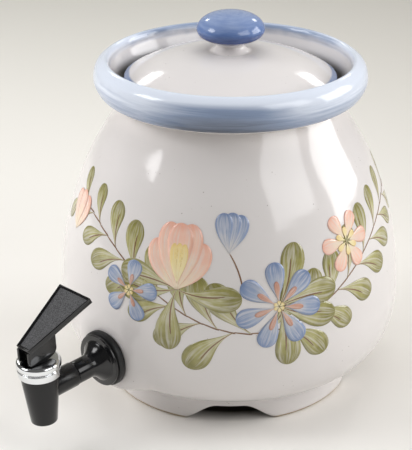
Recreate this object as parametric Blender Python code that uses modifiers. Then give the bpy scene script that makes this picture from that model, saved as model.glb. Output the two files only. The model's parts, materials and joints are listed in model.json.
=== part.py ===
"""Stoneware drink crock with a loose lid and a black lever tap.

Units are metres and +Z is up. The crock stands on Z = 0. The tap points along -Y, and the
origin is the middle of the footprint's bounding box, so the crock's own axis lies a little
towards +Y. Round work is drawn as half outlines and turned with a Screw modifier.
"""
import math

import bmesh
import bpy
import numpy as np
from mathutils import Matrix, Vector

# Crock, outside
BELLY_RADIUS = 0.1109
BELLY_HEIGHT = 0.0654
FOOT_RADIUS = 0.0801
FOOT_BAND_FLARE = 0.0022
FOOT_BAND_HEIGHT = 0.0165
CREASE_DEPTH = 0.0011
CREASE_HEIGHT = 0.0193
NECK_RADIUS = 0.0703
RIM_HEIGHT = 0.2180
RIM_DEPTH = 0.0251
RIM_OVERHANG = 0.0161
# Fullness of the curve from the crease to the belly: 2 is a plain quarter ellipse
BELLY_FULLNESS_SHARE = 2.1
# Shoulder, from the belly (0, 0) to the neck (1, 1): share of the height, share of the radius
SHOULDER_SHARES = ((0.0, 0.0), (0.214, 0.052), (0.427, 0.187), (0.684, 0.483), (0.898, 0.860), (1.0, 1.0))
# Rolled rim, from the neck (0, 0) to full radius and height: share of radius, share of height
RIM_SHARES = ((0.0, 0.0), (0.45, 0.06), (0.79, 0.19), (0.97, 0.40), (1.0, 0.60), (0.87, 0.85),
              (0.54, 1.0), (0.40, 0.90), (0.36, 0.76))

# Crock, inside and underneath
WALL = 0.0070
LEDGE_DEPTH = 0.0200
LEDGE_STEP = 0.0007
FLOOR_HEIGHT = 0.0230
FLOOR_FILLET = 0.0080
FOOT_RING_WIDTH = 0.0131
FOOT_RECESS = 0.0145
FOOT_EDGE = 0.0010

# Arched notches cut through the foot ring
NOTCH_COUNT = 4
NOTCH_HALF_WIDTH = 0.0285
NOTCH_TOP_HALF_WIDTH = 0.0140
NOTCH_HEIGHT = 0.0115
NOTCH_FIRST_ANGLE = math.radians(45)

# Lid, with its knob in one piece
LID_PLAY = 0.0035
LID_EDGE_HEIGHT = 0.0090
LID_EDGE_ROUND = 0.00225
LID_DOME_HEIGHT = 0.0150
LID_THICKNESS = 0.0062
LID_RING_PLAY = 0.0053
LID_RING_WALL = 0.0055
LID_RING_DEPTH = 0.0095
KNOB_NECK_RADIUS = 0.0088
KNOB_NECK_HEIGHT = 0.0062
KNOB_WAIST_SHARE = 0.45
KNOB_FOOT_SHARE = 1.35
KNOB_RADIUS = 0.0214
KNOB_HEIGHT = 0.0180
# Knob, from its underside to its top: share of the radius, share of the height
KNOB_SHARES = ((0.0, 1.0), (0.30, 0.985), (0.62, 0.90), (0.87, 0.72), (1.0, 0.45), (0.93, 0.20),
               (0.72, 0.05), (0.58, 0.0))

# Where the tap stands on the crock
PAD_STAND_OUT = 0.00084
TAP_HEIGHT = 0.0466
TAP_DROOP = math.radians(3.3)
PAD_RADIUS = 0.0196
PAD_FLARE = 0.0110
PAD_DEPTH = 0.0080
PAD_ROOT = 0.0200
PAD_WALL = 0.0072
NUT_FLAT_MARGIN = 0.0020
TAP_HOLE_RADIUS = 0.0105

# Shank: the threaded tube with its flange, from the crock's wall outwards
SHANK_RADIUS = 0.0095
SHANK_BORE_RADIUS = 0.0038
SHANK_TAIL = 0.0025
FLANGE_RADIUS = 0.0170
FLANGE_LIP = 0.0022
FLANGE_FLARE = 0.0095
FLANGE_TOP_RADIUS = 0.0130
TUBE_RADIUS = 0.0073
TUBE_END = 0.0280
SPIGOT_RADIUS = 0.00605
SPIGOT_LENGTH = 0.0080
O_RING_THICKNESS = 0.0010
O_RING_GROOVE_DEPTH = 0.0012
O_RING_SETBACK = 0.0040

# What clamps the shank to the wall
OUTER_GASKET_RADIUS = 0.0181
OUTER_GASKET_THICKNESS = 0.0048
INNER_GASKET_RADIUS = 0.0155
INNER_GASKET_THICKNESS = 0.0030
WASHER_RADIUS = 0.0150
WASHER_THICKNESS = 0.0015
NUT_ACROSS_FLATS = 0.0270
NUT_THICKNESS = 0.0065
NUT_CHAMFER = 0.0008
RING_BORE_CLEARANCE = 0.0004

# Tap body: barrel, side stub and spout
STUB_REACH = 0.0251
BARREL_TOP_RADIUS = 0.0119
BARREL_BOTTOM_RADIUS = 0.0082
BARREL_SHOULDER = 0.0116
BARREL_DROP = 0.0207
BARREL_NECK_RADIUS = 0.0109
BARREL_NECK_TOP = 0.0140
CHAMBER_RADIUS = 0.0084
SEAT_DEPTH = 0.0075
SEAT_RADIUS = 0.0040
SEAT_CONE = 0.0022
SEAT_THICKNESS = 0.0016
SPOUT_TOP_RADIUS = 0.0052
SPOUT_MOUTH_RADIUS = 0.0066
STUB_RADIUS = 0.0078
STUB_EDGE = 0.0006

# Bonnet: the chrome cap that screws on the barrel
BONNET_BOTTOM = 0.0121
BONNET_BAND_RADIUS = 0.0134
BONNET_BAND_FOOT_RADIUS = 0.0130
BONNET_BAND_HEIGHT = 0.0045
BONNET_GROOVE_RADIUS = 0.0128
BONNET_GROOVE_HEIGHT = 0.0006
BONNET_LIP_RADIUS = 0.0138
BONNET_LIP_HEIGHT = 0.0052
BONNET_LIP_ROUND = 0.0020
BONNET_TOP_THICKNESS = 0.0018
BONNET_HOLE_RADIUS = 0.0029

# Seat cup: the silicone cup that closes the outlet
CUP_WALL = 0.0009
CUP_SIDE_CLEARANCE = 0.0004
CUP_FLANGE_THICKNESS = 0.0014
CUP_FLOOR_HEIGHT = 0.0010
CUP_NOSE_SHOULDER = 0.0038
CUP_NOSE_STEP = 0.0020
CUP_SOCKET_RADIUS = 0.0020
CUP_SOCKET_BULB_RADIUS = 0.0030
CUP_SOCKET_DEPTH = 0.0052
CUP_SOCKET_NECK = 0.0022

# Stem, spring and handle pin
STEM_RADIUS = 0.0023
STEM_COLLAR_RADIUS = 0.0056
STEM_COLLAR_THICKNESS = 0.0014
STEM_HEAD_RADIUS = 0.0033
STEM_HEAD_CROWN_SHARE = 0.6
STEM_HEAD_TOP = 0.0034
STEM_HEAD_BOTTOM = 0.0038
PIN_RADIUS = 0.00125
PIN_BORE_CLEARANCE = 0.0003
SPRING_WIRE = 0.0009
SPRING_RADIUS = 0.0041
SPRING_TURNS = 6
SPRING_CLOSED_TURNS = 1

# Handle, seen from the side: heights above the bonnet's top, lengths from the barrel's axis
HANDLE_PIN_HEIGHT = 0.0046
HANDLE_TOE_FORWARD = 0.0108
HANDLE_TOE_ROUND = 0.0024
HANDLE_FLAT_BACK = 0.0025
HANDLE_HEEL_BACK = 0.0104
HANDLE_HEEL_HEIGHT = 0.0060
HANDLE_NOSE_HEIGHT = 0.0117
HANDLE_TIP_BACK = 0.0322
HANDLE_TIP_HEIGHT = 0.0327
HANDLE_NARROW_WIDTH = 0.0113
HANDLE_WIDE_WIDTH = 0.0280
HANDLE_DEPTH = 0.0040
HANDLE_CHEEK_WALL = 0.0018
HANDLE_BORDER = 0.0018
HANDLE_PANEL_DEPTH = 0.0011
HANDLE_SIDE_WALL = 0.0016
HANDLE_SKIN = 0.0016

# Fits and finish
GAP = 0.0003
OVERRUN = 0.0020
MERGE = 0.00002
CROCK_SEGMENTS = 48
LID_SEGMENTS = 36
TAP_SEGMENTS = 28
SMALL_SEGMENTS = 20
CURVE_STEPS = 2
ARC_STEPS = 4
SPRING_POINTS_PER_TURN = 8
SMOOTH_ANGLE = math.radians(35)
DRILL_TURN = math.radians(4)
# A face counts as facing along an axis from this share of its normal
FACING_SHARE = 0.9

# Worked out from the sizes above
FOOT_BAND_RADIUS = FOOT_RADIUS + FOOT_BAND_FLARE
FOOT_INNER_RADIUS = FOOT_RADIUS - FOOT_RING_WIDTH
CREASE_RADIUS = FOOT_BAND_RADIUS - CREASE_DEPTH
NECK_HEIGHT = RIM_HEIGHT - RIM_DEPTH
RIM_RADIUS = NECK_RADIUS + RIM_OVERHANG
LEDGE_HEIGHT = RIM_HEIGHT - LEDGE_DEPTH
LEDGE_OUTER_RADIUS = NECK_RADIUS + LEDGE_STEP
LID_EDGE_RADIUS = LEDGE_OUTER_RADIUS - LID_PLAY
LID_RING_RADIUS = NECK_RADIUS - WALL - LID_RING_PLAY
BELOW_BELLY_SHARE = max(BELLY_HEIGHT - TAP_HEIGHT, 0.0) / (BELLY_HEIGHT - CREASE_HEIGHT)
TAP_SWELL_SHARE = (1 - BELOW_BELLY_SHARE ** BELLY_FULLNESS_SHARE) ** (1 / BELLY_FULLNESS_SHARE)
SEAT_DISTANCE = CREASE_RADIUS + (BELLY_RADIUS - CREASE_RADIUS) * TAP_SWELL_SHARE + PAD_STAND_OUT
BARREL_OFFSET = TUBE_END + STUB_REACH
CLAMP_STACK = INNER_GASKET_THICKNESS + WASHER_THICKNESS + NUT_THICKNESS + 3 * GAP
LIP_MIDDLE = BONNET_BOTTOM + BONNET_BAND_HEIGHT + BONNET_GROOVE_HEIGHT + BONNET_LIP_HEIGHT / 2
BONNET_TOP = BONNET_BOTTOM + BONNET_BAND_HEIGHT + BONNET_GROOVE_HEIGHT + BONNET_LIP_HEIGHT
TAP_REACH = (SEAT_DISTANCE + (BARREL_OFFSET + BONNET_LIP_RADIUS) * math.cos(TAP_DROOP)
             + LIP_MIDDLE * math.sin(TAP_DROOP))
CROCK_AXIS_Y = (TAP_REACH - BELLY_RADIUS) / 2
LID_SEAT = LEDGE_HEIGHT + GAP
LID_DOME_TOP = LID_SEAT + LID_EDGE_HEIGHT + LID_DOME_HEIGHT
KNOB_BOTTOM = LID_DOME_TOP + KNOB_NECK_HEIGHT


def clear_scene():
    """Remove whatever the file holds."""
    for old in list(bpy.data.objects):
        bpy.data.objects.remove(old, do_unlink=True)


def new_collection(name):
    """A collection of this name in the scene."""
    collection = bpy.data.collections.new(name)
    bpy.context.scene.collection.children.link(collection)
    return collection


clear_scene()
PARTS = new_collection("stoneware_drink_crock")
CUTTERS = new_collection("cutters")


def linear(value):
    """One sRGB channel as linear light."""
    return value / 12.92 if value <= 0.04045 else ((value + 0.055) / 1.055) ** 2.4


def finish(name, colour, roughness, metallic=0.0):
    """A plain material from a hex colour."""
    made = bpy.data.materials.new(name)
    made.use_nodes = True
    shader = made.node_tree.nodes["Principled BSDF"]
    rgb = [linear(int(colour[i:i + 2], 16) / 255) for i in (0, 2, 4)]
    shader.inputs["Base Color"].default_value = (*rgb, 1.0)
    shader.inputs["Roughness"].default_value = roughness
    shader.inputs["Metallic"].default_value = metallic
    return made


def add_empty(name, location, parent=None, tilt=0.0):
    """An empty that carries other objects, tilted about X."""
    empty = bpy.data.objects.new(name, None)
    empty.location = location
    empty.rotation_euler = (tilt, 0.0, 0.0)
    empty.parent = parent
    PARTS.objects.link(empty)
    return empty


def add_object(name, mesh, parent, material=None, location=(0, 0, 0), rotation=(0, 0, 0)):
    """An object that holds this mesh: a part with a material, or a cutter without one."""
    made = bpy.data.objects.new(name, mesh)
    made.location = location
    made.rotation_euler = rotation
    made.parent = parent
    if material is None:
        CUTTERS.objects.link(made)
        made.hide_render = True
        made.display_type = "WIRE"
    else:
        PARTS.objects.link(made)
        mesh.materials.append(material)
    return made


def shade_round(made):
    """Smooth shading that keeps the crisp edges."""
    made.data.shade_smooth()
    made.data.set_sharp_from_angle(angle=SMOOTH_ANGLE)


def smooth_curve(points, steps=CURVE_STEPS):
    """A Catmull-Rom curve through the points, both ends included."""
    given = [Vector(p) for p in points]
    padded = [2 * given[0] - given[1]] + given + [2 * given[-1] - given[-2]]
    curve = []
    for i in range(1, len(padded) - 2):
        a, b, c, d = padded[i - 1:i + 3]
        for step in range(steps):
            t = step / steps
            curve.append(0.5 * (2 * b + (c - a) * t + (2 * a - 5 * b + 4 * c - d) * t ** 2
                                + (3 * b - a - 3 * c + d) * t ** 3))
    curve.append(given[-1])
    return [tuple(p) for p in curve]


def arc(centre, radius, start, end, steps=ARC_STEPS):
    """Points along an arc, angles in degrees from +radius towards +height."""
    angles = np.radians(np.linspace(start, end, steps + 1))
    return [(centre[0] + radius * math.cos(a), centre[1] + radius * math.sin(a)) for a in angles]


def turn(name, outline, segments, parent, material=None, closed=False, **place):
    """Turn a half outline of (radius, height) about Z; it runs down its outer side."""
    mesh = bpy.data.meshes.new(name)
    count = len(outline)
    edges = [(i, i + 1) for i in range(count - 1)]
    if closed:
        edges.append((count - 1, 0))
    mesh.from_pydata([(r, 0.0, z) for r, z in outline], edges, [])
    made = add_object(name, mesh, parent, material, **place)
    screw = made.modifiers.new("turn", "SCREW")
    screw.steps = segments
    screw.render_steps = segments
    screw.use_merge_vertices = True
    screw.merge_threshold = MERGE
    screw.use_smooth_shade = True
    return made


def disc(name, radius, bottom, top, segments, parent, material=None, bore=0.0, **place):
    """A plain cylinder, or a washer where it has a bore."""
    if bore:
        outline = [(bore, top), (radius, top), (radius, bottom), (bore, bottom)]
        return turn(name, outline, segments, parent, material, closed=True, **place)
    outline = [(0.0, top), (radius, top), (radius, bottom), (0.0, bottom)]
    return turn(name, outline, segments, parent, material, **place)


def prism(name, outline, thickness, parent, material=None, **place):
    """A flat outline in X and Y, filled and extruded both ways along Z, as one closed mesh."""
    curve = bpy.data.curves.new(name, "CURVE")
    curve.dimensions = "2D"
    curve.fill_mode = "BOTH"
    curve.extrude = thickness / 2
    spline = curve.splines.new("POLY")
    spline.points.add(len(outline) - 1)
    for point, (x, y) in zip(spline.points, outline):
        point.co = (x, y, 0.0, 1.0)
    spline.use_cyclic_u = True
    return add_object(name, curve_mesh(name, curve), parent, material, **place)


def curve_mesh(name, curve):
    """The mesh of a curve, with its caps welded on."""
    guide = bpy.data.objects.new(name + "_guide", curve)
    CUTTERS.objects.link(guide)
    bpy.context.view_layer.update()
    evaluated = guide.evaluated_get(bpy.context.evaluated_depsgraph_get())
    mesh = bpy.data.meshes.new_from_object(evaluated)
    mesh.name = name
    shape = bmesh.new()
    shape.from_mesh(mesh)
    bmesh.ops.remove_doubles(shape, verts=shape.verts, dist=MERGE)
    bmesh.ops.recalc_face_normals(shape, faces=shape.faces)
    shape.to_mesh(mesh)
    shape.free()
    bpy.data.objects.remove(guide, do_unlink=True)
    return mesh


def combine(made, other, operation):
    """Cut or join another object into this one."""
    boolean = made.modifiers.new(other.name, "BOOLEAN")
    boolean.operation = operation
    boolean.solver = "EXACT"
    boolean.object = other
    return boolean


def offset_inwards(points, distance):
    """An outline moved inwards, square to itself."""
    flat = np.array(points)
    along = np.gradient(flat, axis=0)
    along /= np.linalg.norm(along, axis=1)[:, None]
    inwards = np.column_stack((along[:, 1], -along[:, 0]))
    return [tuple(p) for p in flat + distance * inwards]


# Carriers
crock_axis = add_empty("crock_axis", (0.0, CROCK_AXIS_Y, 0.0))
tap_seat = add_empty("tap_seat", (0.0, -SEAT_DISTANCE, TAP_HEIGHT), crock_axis, tilt=TAP_DROOP)
barrel_axis = add_empty("barrel_axis", (0.0, -BARREL_OFFSET, 0.0), tap_seat)
PIN_HEIGHT = BONNET_TOP + HANDLE_PIN_HEIGHT
handle_pivot = add_empty("handle_pivot", (0.0, 0.0, PIN_HEIGHT), barrel_axis)
# Turned about this, a part's own Z axis points out of the crock along the shank
OUTWARDS = (math.radians(90), 0.0, 0.0)
# The same for a cutter: its facets are turned a little, so none lies in line with the part's
DRILL_OUTWARDS = (math.radians(90), DRILL_TURN, 0.0)
# Turned about this, a flat outline in X and Y stands up in Y and Z
UPRIGHT = Matrix(((0, 0, 1), (1, 0, 0), (0, 1, 0))).to_euler()

stoneware = finish("glazed_stoneware", "E9E4E2", 0.18)
lid_stoneware = finish("glazed_stoneware_lid", "E6E1E0", 0.18)
black_plastic = finish("black_plastic", "17171A", 0.30)
shank_plastic = finish("black_shank_plastic", "141416", 0.28)
handle_plastic = finish("handle_plastic", "232326", 0.38)
black_rubber = finish("black_rubber", "0E0E0F", 0.60)
inner_rubber = finish("inner_rubber", "101011", 0.62)
nut_plastic = finish("nut_plastic", "1B1B1D", 0.40)
washer_plastic = finish("washer_plastic", "D9D7D0", 0.45)
chrome = finish("chrome", "D8DADD", 0.08, 1.0)
silicone = finish("silicone", "D8D2C6", 0.50)
stem_plastic = finish("stem_plastic", "E4E2DC", 0.40)
spring_steel = finish("spring_steel", "B9BBBE", 0.25, 1.0)
pin_plastic = finish("pin_plastic", "1B1B1D", 0.3)
o_ring_rubber = finish("o_ring_rubber", "121213", 0.55)


def belly_outline():
    """The crock's outer side from the neck down to the crease."""
    fall = NECK_HEIGHT - BELLY_HEIGHT
    narrowing = BELLY_RADIUS - NECK_RADIUS
    shoulder = [(BELLY_RADIUS - share_r * narrowing, BELLY_HEIGHT + share_z * fall)
                for share_z, share_r in reversed(SHOULDER_SHARES)]
    shoulder = smooth_curve(shoulder)
    rise = BELLY_HEIGHT - CREASE_HEIGHT
    swell = BELLY_RADIUS - CREASE_RADIUS
    lower = []
    for angle in np.linspace(0, math.pi / 2, 2 * ARC_STEPS + 1)[1:]:
        across = math.cos(angle) ** (2 / BELLY_FULLNESS_SHARE)
        down = math.sin(angle) ** (2 / BELLY_FULLNESS_SHARE)
        lower.append((CREASE_RADIUS + swell * across, BELLY_HEIGHT - rise * down))
    return shoulder + lower


def rim_outline():
    """The rolled rim from its inner side over the top and down to the neck."""
    swell = RIM_RADIUS - NECK_RADIUS
    rise = RIM_HEIGHT - NECK_HEIGHT
    points = [(NECK_RADIUS + share_r * swell, NECK_HEIGHT + share_z * rise)
              for share_r, share_z in reversed(RIM_SHARES)]
    return smooth_curve(points)


def cavity_outline():
    """The inside: through the neck, down the wall and across the floor."""
    inside = offset_inwards(belly_outline(), WALL)
    fillet_top = FLOOR_HEIGHT + FLOOR_FILLET
    wall = [(r, z) for r, z in inside[::2] if z > fillet_top + FLOOR_FILLET / 2]
    radii, heights = zip(*reversed(inside))
    corner = (np.interp(fillet_top, heights, radii) - FLOOR_FILLET, fillet_top)
    fillet = arc(corner, FLOOR_FILLET, 0, -90)
    mouth_top = LEDGE_HEIGHT + OVERRUN
    mouth = [(0.0, mouth_top), (wall[0][0], mouth_top)]
    return mouth + wall + fillet + [(0.0, FLOOR_HEIGHT)]


def make_crock():
    """The thrown stoneware crock: rim, belly, foot with four arched notches, and the tap's pad."""
    outside = [(0.0, LEDGE_HEIGHT), (LEDGE_OUTER_RADIUS, LEDGE_HEIGHT)]
    outside += rim_outline()[:-1] + belly_outline()
    outside += [(FOOT_BAND_RADIUS, FOOT_BAND_HEIGHT), (FOOT_RADIUS + FOOT_EDGE / 2, FOOT_EDGE),
                (FOOT_RADIUS - FOOT_EDGE / 2, 0.0), (FOOT_INNER_RADIUS + FOOT_EDGE, 0.0),
                (FOOT_INNER_RADIUS, FOOT_EDGE), (FOOT_INNER_RADIUS - FOOT_EDGE, FOOT_RECESS),
                (0.0, FOOT_RECESS)]
    crock = turn("crock", outside, CROCK_SEGMENTS, crock_axis, stoneware)

    boss = turn("pad_boss", [(0.0, 0.0), (PAD_RADIUS, 0.0), (PAD_RADIUS + PAD_FLARE, -PAD_ROOT),
                             (0.0, -PAD_ROOT)],
                TAP_SEGMENTS, tap_seat, rotation=OUTWARDS)
    flat = turn("pad_flat", [(0.0, PAD_DEPTH), (PAD_RADIUS + PAD_FLARE, PAD_DEPTH), (PAD_RADIUS, 0.0),
                             (0.0, 0.0)],
                TAP_SEGMENTS, tap_seat, rotation=OUTWARDS)
    cavity = turn("cavity", cavity_outline(), CROCK_SEGMENTS, crock_axis)
    # The flat inside is cut deep enough for the whole stack of gasket, washer and nut
    nut_flat_radius = INNER_GASKET_RADIUS + NUT_FLAT_MARGIN
    nut_flat_end = -PAD_WALL - CLAMP_STACK - NUT_FLAT_MARGIN
    nut_flat = disc("nut_flat", nut_flat_radius, nut_flat_end, -PAD_WALL, TAP_SEGMENTS, tap_seat,
                    rotation=DRILL_OUTWARDS)
    hole = disc("tap_hole", TAP_HOLE_RADIUS, -PAD_WALL - OVERRUN, OVERRUN, TAP_SEGMENTS, tap_seat,
                rotation=DRILL_OUTWARDS)
    combine(crock, boss, "UNION")
    for cutter in (flat, cavity, nut_flat, hole):
        combine(crock, cutter, "DIFFERENCE")

    # Each notch reaches from inside the foot ring, at its own corners, out past the band
    notch_start = math.sqrt((FOOT_INNER_RADIUS - FOOT_EDGE) ** 2 - NOTCH_HALF_WIDTH ** 2) - OVERRUN
    notch_end = FOOT_BAND_RADIUS + OVERRUN
    middle = (notch_start + notch_end) / 2
    side = []
    for t in np.linspace(0, 1, 2 * ARC_STEPS):
        half = NOTCH_HALF_WIDTH + (NOTCH_TOP_HALF_WIDTH - NOTCH_HALF_WIDTH) * t
        side.append((half, NOTCH_HEIGHT * (1 - math.cos(math.pi * t)) / 2))
    outline = [(NOTCH_HALF_WIDTH, -OVERRUN)] + side
    outline += [(-x, z) for x, z in reversed(outline)]
    for i in range(NOTCH_COUNT):
        angle = NOTCH_FIRST_ANGLE + i * 2 * math.pi / NOTCH_COUNT
        notch = prism(f"notch_{i + 1}", outline, notch_end - notch_start, crock_axis,
                      location=(middle * math.cos(angle), middle * math.sin(angle), 0.0),
                      rotation=(math.radians(90), 0.0, angle + math.radians(90)))
        combine(crock, notch, "DIFFERENCE")
    shade_round(crock)


def make_lid():
    """The loose lid: domed plate, blue edge, locating ring below and a mushroom knob."""
    edge_top = LID_SEAT + LID_EDGE_HEIGHT
    edge = LID_EDGE_ROUND
    knob = [(KNOB_RADIUS * share_r, KNOB_BOTTOM + KNOB_HEIGHT * share_z) for share_r, share_z in KNOB_SHARES]
    dome_start = KNOB_NECK_RADIUS * KNOB_FOOT_SHARE
    dome_edge = LID_EDGE_RADIUS - edge
    neck = smooth_curve([knob[-1], (KNOB_NECK_RADIUS, KNOB_BOTTOM - KNOB_NECK_HEIGHT * KNOB_WAIST_SHARE),
                         (dome_start, LID_DOME_TOP)])
    dome = []
    for t in np.linspace(0, 1, 2 * ARC_STEPS)[1:]:
        radius = dome_start + (dome_edge - dome_start) * t
        dome.append((radius, edge_top + LID_DOME_HEIGHT * (1 - t ** 2)))
    rim = arc((LID_EDGE_RADIUS - edge, edge_top - edge), edge, 60, 0, 2)
    rim += arc((LID_EDGE_RADIUS - edge, LID_SEAT + edge), edge, 0, -90, 2)
    ring_bottom = LID_SEAT - LID_RING_DEPTH
    ring_inner = LID_RING_RADIUS - LID_RING_WALL
    ring = [(LID_RING_RADIUS, LID_SEAT), (LID_RING_RADIUS, ring_bottom + edge / 2),
            (LID_RING_RADIUS - edge / 2, ring_bottom), (ring_inner, ring_bottom),
            (ring_inner, LID_SEAT + edge)]
    under = []
    for t in np.linspace(1, 0, ARC_STEPS + 2)[1:]:
        under.append((ring_inner * t, edge_top - LID_THICKNESS + LID_DOME_HEIGHT * (1 - t ** 2)))
    outline = smooth_curve(knob)[:-1] + neck + dome + rim + ring + under
    lid = turn("lid", outline, LID_SEGMENTS, crock_axis, lid_stoneware)
    shade_round(lid)


def make_clamp():
    """Gaskets, washer and nut that hold the shank in the wall."""
    bore = SHANK_RADIUS + RING_BORE_CLEARANCE
    disc("outer_gasket", OUTER_GASKET_RADIUS, GAP, GAP + OUTER_GASKET_THICKNESS, TAP_SEGMENTS, tap_seat,
         black_rubber, bore=bore, rotation=OUTWARDS)
    top = -PAD_WALL - GAP
    disc("inner_gasket", INNER_GASKET_RADIUS, top - INNER_GASKET_THICKNESS, top, TAP_SEGMENTS, tap_seat,
         inner_rubber, bore=bore, rotation=OUTWARDS)
    top -= INNER_GASKET_THICKNESS + GAP
    disc("friction_washer", WASHER_RADIUS, top - WASHER_THICKNESS, top, TAP_SEGMENTS, tap_seat,
         washer_plastic, bore=bore, rotation=OUTWARDS)
    top -= WASHER_THICKNESS + GAP
    mesh = bpy.data.meshes.new("shank_nut")
    shape = bmesh.new()
    corner_radius = NUT_ACROSS_FLATS / 2 / math.cos(math.pi / 6)
    bmesh.ops.create_cone(shape, cap_ends=True, segments=6, radius1=corner_radius, radius2=corner_radius,
                          depth=NUT_THICKNESS)
    bmesh.ops.bevel(shape, geom=list(shape.edges), offset=NUT_CHAMFER, segments=1, affect="EDGES",
                    profile=0.5, material=-1)
    shape.to_mesh(mesh)
    shape.free()
    nut = add_object("shank_nut", mesh, tap_seat, nut_plastic, rotation=OUTWARDS,
                     location=(0.0, NUT_THICKNESS / 2 - top, 0.0))
    drill = disc("nut_bore", bore, -NUT_THICKNESS, NUT_THICKNESS, TAP_SEGMENTS, nut,
                 rotation=(0.0, 0.0, DRILL_TURN))
    combine(nut, drill, "DIFFERENCE")
    return top - NUT_THICKNESS


def make_shank(nut_end):
    """The flanged tube: thread through the wall, flange, outer tube and spigot with its groove."""
    face = 2 * GAP + OUTER_GASKET_THICKNESS
    lip_top = face + FLANGE_LIP
    flare_end = lip_top + FLANGE_FLARE
    # The flange's lip, a flat step, then a hollow flare down to the tube
    flare = []
    for t in np.linspace(0, 1, 2 * ARC_STEPS):
        radius = TUBE_RADIUS + (FLANGE_TOP_RADIUS - TUBE_RADIUS) * (1 - t) ** 2
        flare.append((radius, lip_top + FLANGE_LIP / 2 + (FLANGE_FLARE - FLANGE_LIP / 2) * t))
    spigot_end = TUBE_END + SPIGOT_LENGTH
    groove_top = spigot_end - O_RING_SETBACK
    groove_bottom = groove_top - O_RING_THICKNESS - 2 * GAP
    groove_radius = SPIGOT_RADIUS - O_RING_GROOVE_DEPTH
    outline = [(SHANK_BORE_RADIUS, spigot_end), (SPIGOT_RADIUS, spigot_end), (SPIGOT_RADIUS, groove_top),
               (groove_radius, groove_top), (groove_radius, groove_bottom), (SPIGOT_RADIUS, groove_bottom),
               (SPIGOT_RADIUS, TUBE_END), (TUBE_RADIUS, TUBE_END)]
    outline += flare[::-1]
    outline += [(FLANGE_RADIUS, lip_top), (FLANGE_RADIUS, face), (SHANK_RADIUS, face),
                (SHANK_RADIUS, nut_end - SHANK_TAIL), (SHANK_BORE_RADIUS, nut_end - SHANK_TAIL)]
    shank = turn("shank", outline, TAP_SEGMENTS, tap_seat, shank_plastic, closed=True, rotation=OUTWARDS)
    shade_round(shank)

    half = O_RING_THICKNESS / 2
    middle = (groove_top + groove_bottom) / 2
    ring_radius = groove_radius + GAP + half
    ring = arc((ring_radius, middle), half, 90, -270, 2 * ARC_STEPS)[:-1]
    o_ring = turn("joint_o_ring", ring, SMALL_SEGMENTS, tap_seat, o_ring_rubber, closed=True,
                  rotation=OUTWARDS)
    shade_round(o_ring)


def make_faucet_body():
    """Barrel with spout below, neck for the bonnet above, and the side stub to the shank."""
    outline = [(0.0, BARREL_NECK_TOP), (BARREL_NECK_RADIUS, BARREL_NECK_TOP),
               (BARREL_NECK_RADIUS, BARREL_SHOULDER), (BARREL_TOP_RADIUS, BARREL_SHOULDER),
               (BARREL_BOTTOM_RADIUS, -BARREL_DROP), (0.0, -BARREL_DROP)]
    body = turn("faucet_body", outline, TAP_SEGMENTS, barrel_axis, black_plastic)
    stub_start = TUBE_END + GAP
    reach = BARREL_OFFSET - stub_start
    stub = turn("stub", [(0.0, 0.0), (STUB_RADIUS - STUB_EDGE, 0.0), (STUB_RADIUS, -STUB_EDGE),
                         (STUB_RADIUS, -reach), (0.0, -reach)],
                TAP_SEGMENTS, barrel_axis, location=(0.0, reach, 0.0),
                rotation=(-OUTWARDS[0], 0.0, 0.0))
    seat_top = -SEAT_DEPTH - SEAT_CONE
    seat_bottom = seat_top - SEAT_THICKNESS
    bore_top = BARREL_NECK_TOP + OVERRUN
    bore = turn("bore", [(0.0, bore_top), (CHAMBER_RADIUS, bore_top), (CHAMBER_RADIUS, -SEAT_DEPTH),
                         (SEAT_RADIUS, seat_top), (SEAT_RADIUS, seat_bottom),
                         (SPOUT_TOP_RADIUS, seat_bottom - SEAT_THICKNESS),
                         (SPOUT_MOUTH_RADIUS, -BARREL_DROP - OVERRUN), (0.0, -BARREL_DROP - OVERRUN)],
                TAP_SEGMENTS, barrel_axis, rotation=(0.0, 0.0, DRILL_TURN))
    socket_radius = SPIGOT_RADIUS + GAP
    inlet = turn("inlet_bore", [(0.0, OVERRUN), (socket_radius, OVERRUN), (socket_radius, -SPIGOT_LENGTH),
                                (SHANK_BORE_RADIUS, -SPIGOT_LENGTH), (SHANK_BORE_RADIUS, -reach),
                                (0.0, -reach)],
                 TAP_SEGMENTS, barrel_axis, location=(0.0, reach, 0.0),
                 rotation=(-OUTWARDS[0], DRILL_TURN, 0.0))
    combine(body, stub, "UNION")
    for cutter in (bore, inlet):
        combine(body, cutter, "DIFFERENCE")
    shade_round(body)


def make_bonnet():
    """The chrome cap: lower band, groove, round lip and flat top with a hole for the stem."""
    band_top = BONNET_BOTTOM + BONNET_BAND_HEIGHT
    lip_bottom = band_top + BONNET_GROOVE_HEIGHT
    top = BONNET_TOP
    thread_radius = BARREL_NECK_RADIUS + GAP
    ceiling = top - BONNET_TOP_THICKNESS
    shoulder = cup_flange_top() + GAP
    round_ = BONNET_LIP_ROUND
    lip = arc((BONNET_LIP_RADIUS - round_, top - round_), round_, 90, 0)
    lip += arc((BONNET_LIP_RADIUS - round_, lip_bottom + round_), round_, 0, -90)
    outline = [(BONNET_HOLE_RADIUS, top)] + lip
    outline += [(BONNET_GROOVE_RADIUS, lip_bottom), (BONNET_GROOVE_RADIUS, band_top),
                (BONNET_BAND_RADIUS, band_top), (BONNET_BAND_FOOT_RADIUS, BONNET_BOTTOM),
                (thread_radius, BONNET_BOTTOM), (thread_radius, shoulder),
                (CHAMBER_RADIUS, shoulder), (CHAMBER_RADIUS, ceiling), (BONNET_HOLE_RADIUS, ceiling)]
    bonnet = turn("bonnet", outline, TAP_SEGMENTS, barrel_axis, chrome, closed=True)
    shade_round(bonnet)


def cup_flange_top():
    """The top of the seat cup's flange, which the bonnet clamps on the barrel."""
    return BARREL_NECK_TOP + GAP + CUP_FLANGE_THICKNESS


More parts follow.
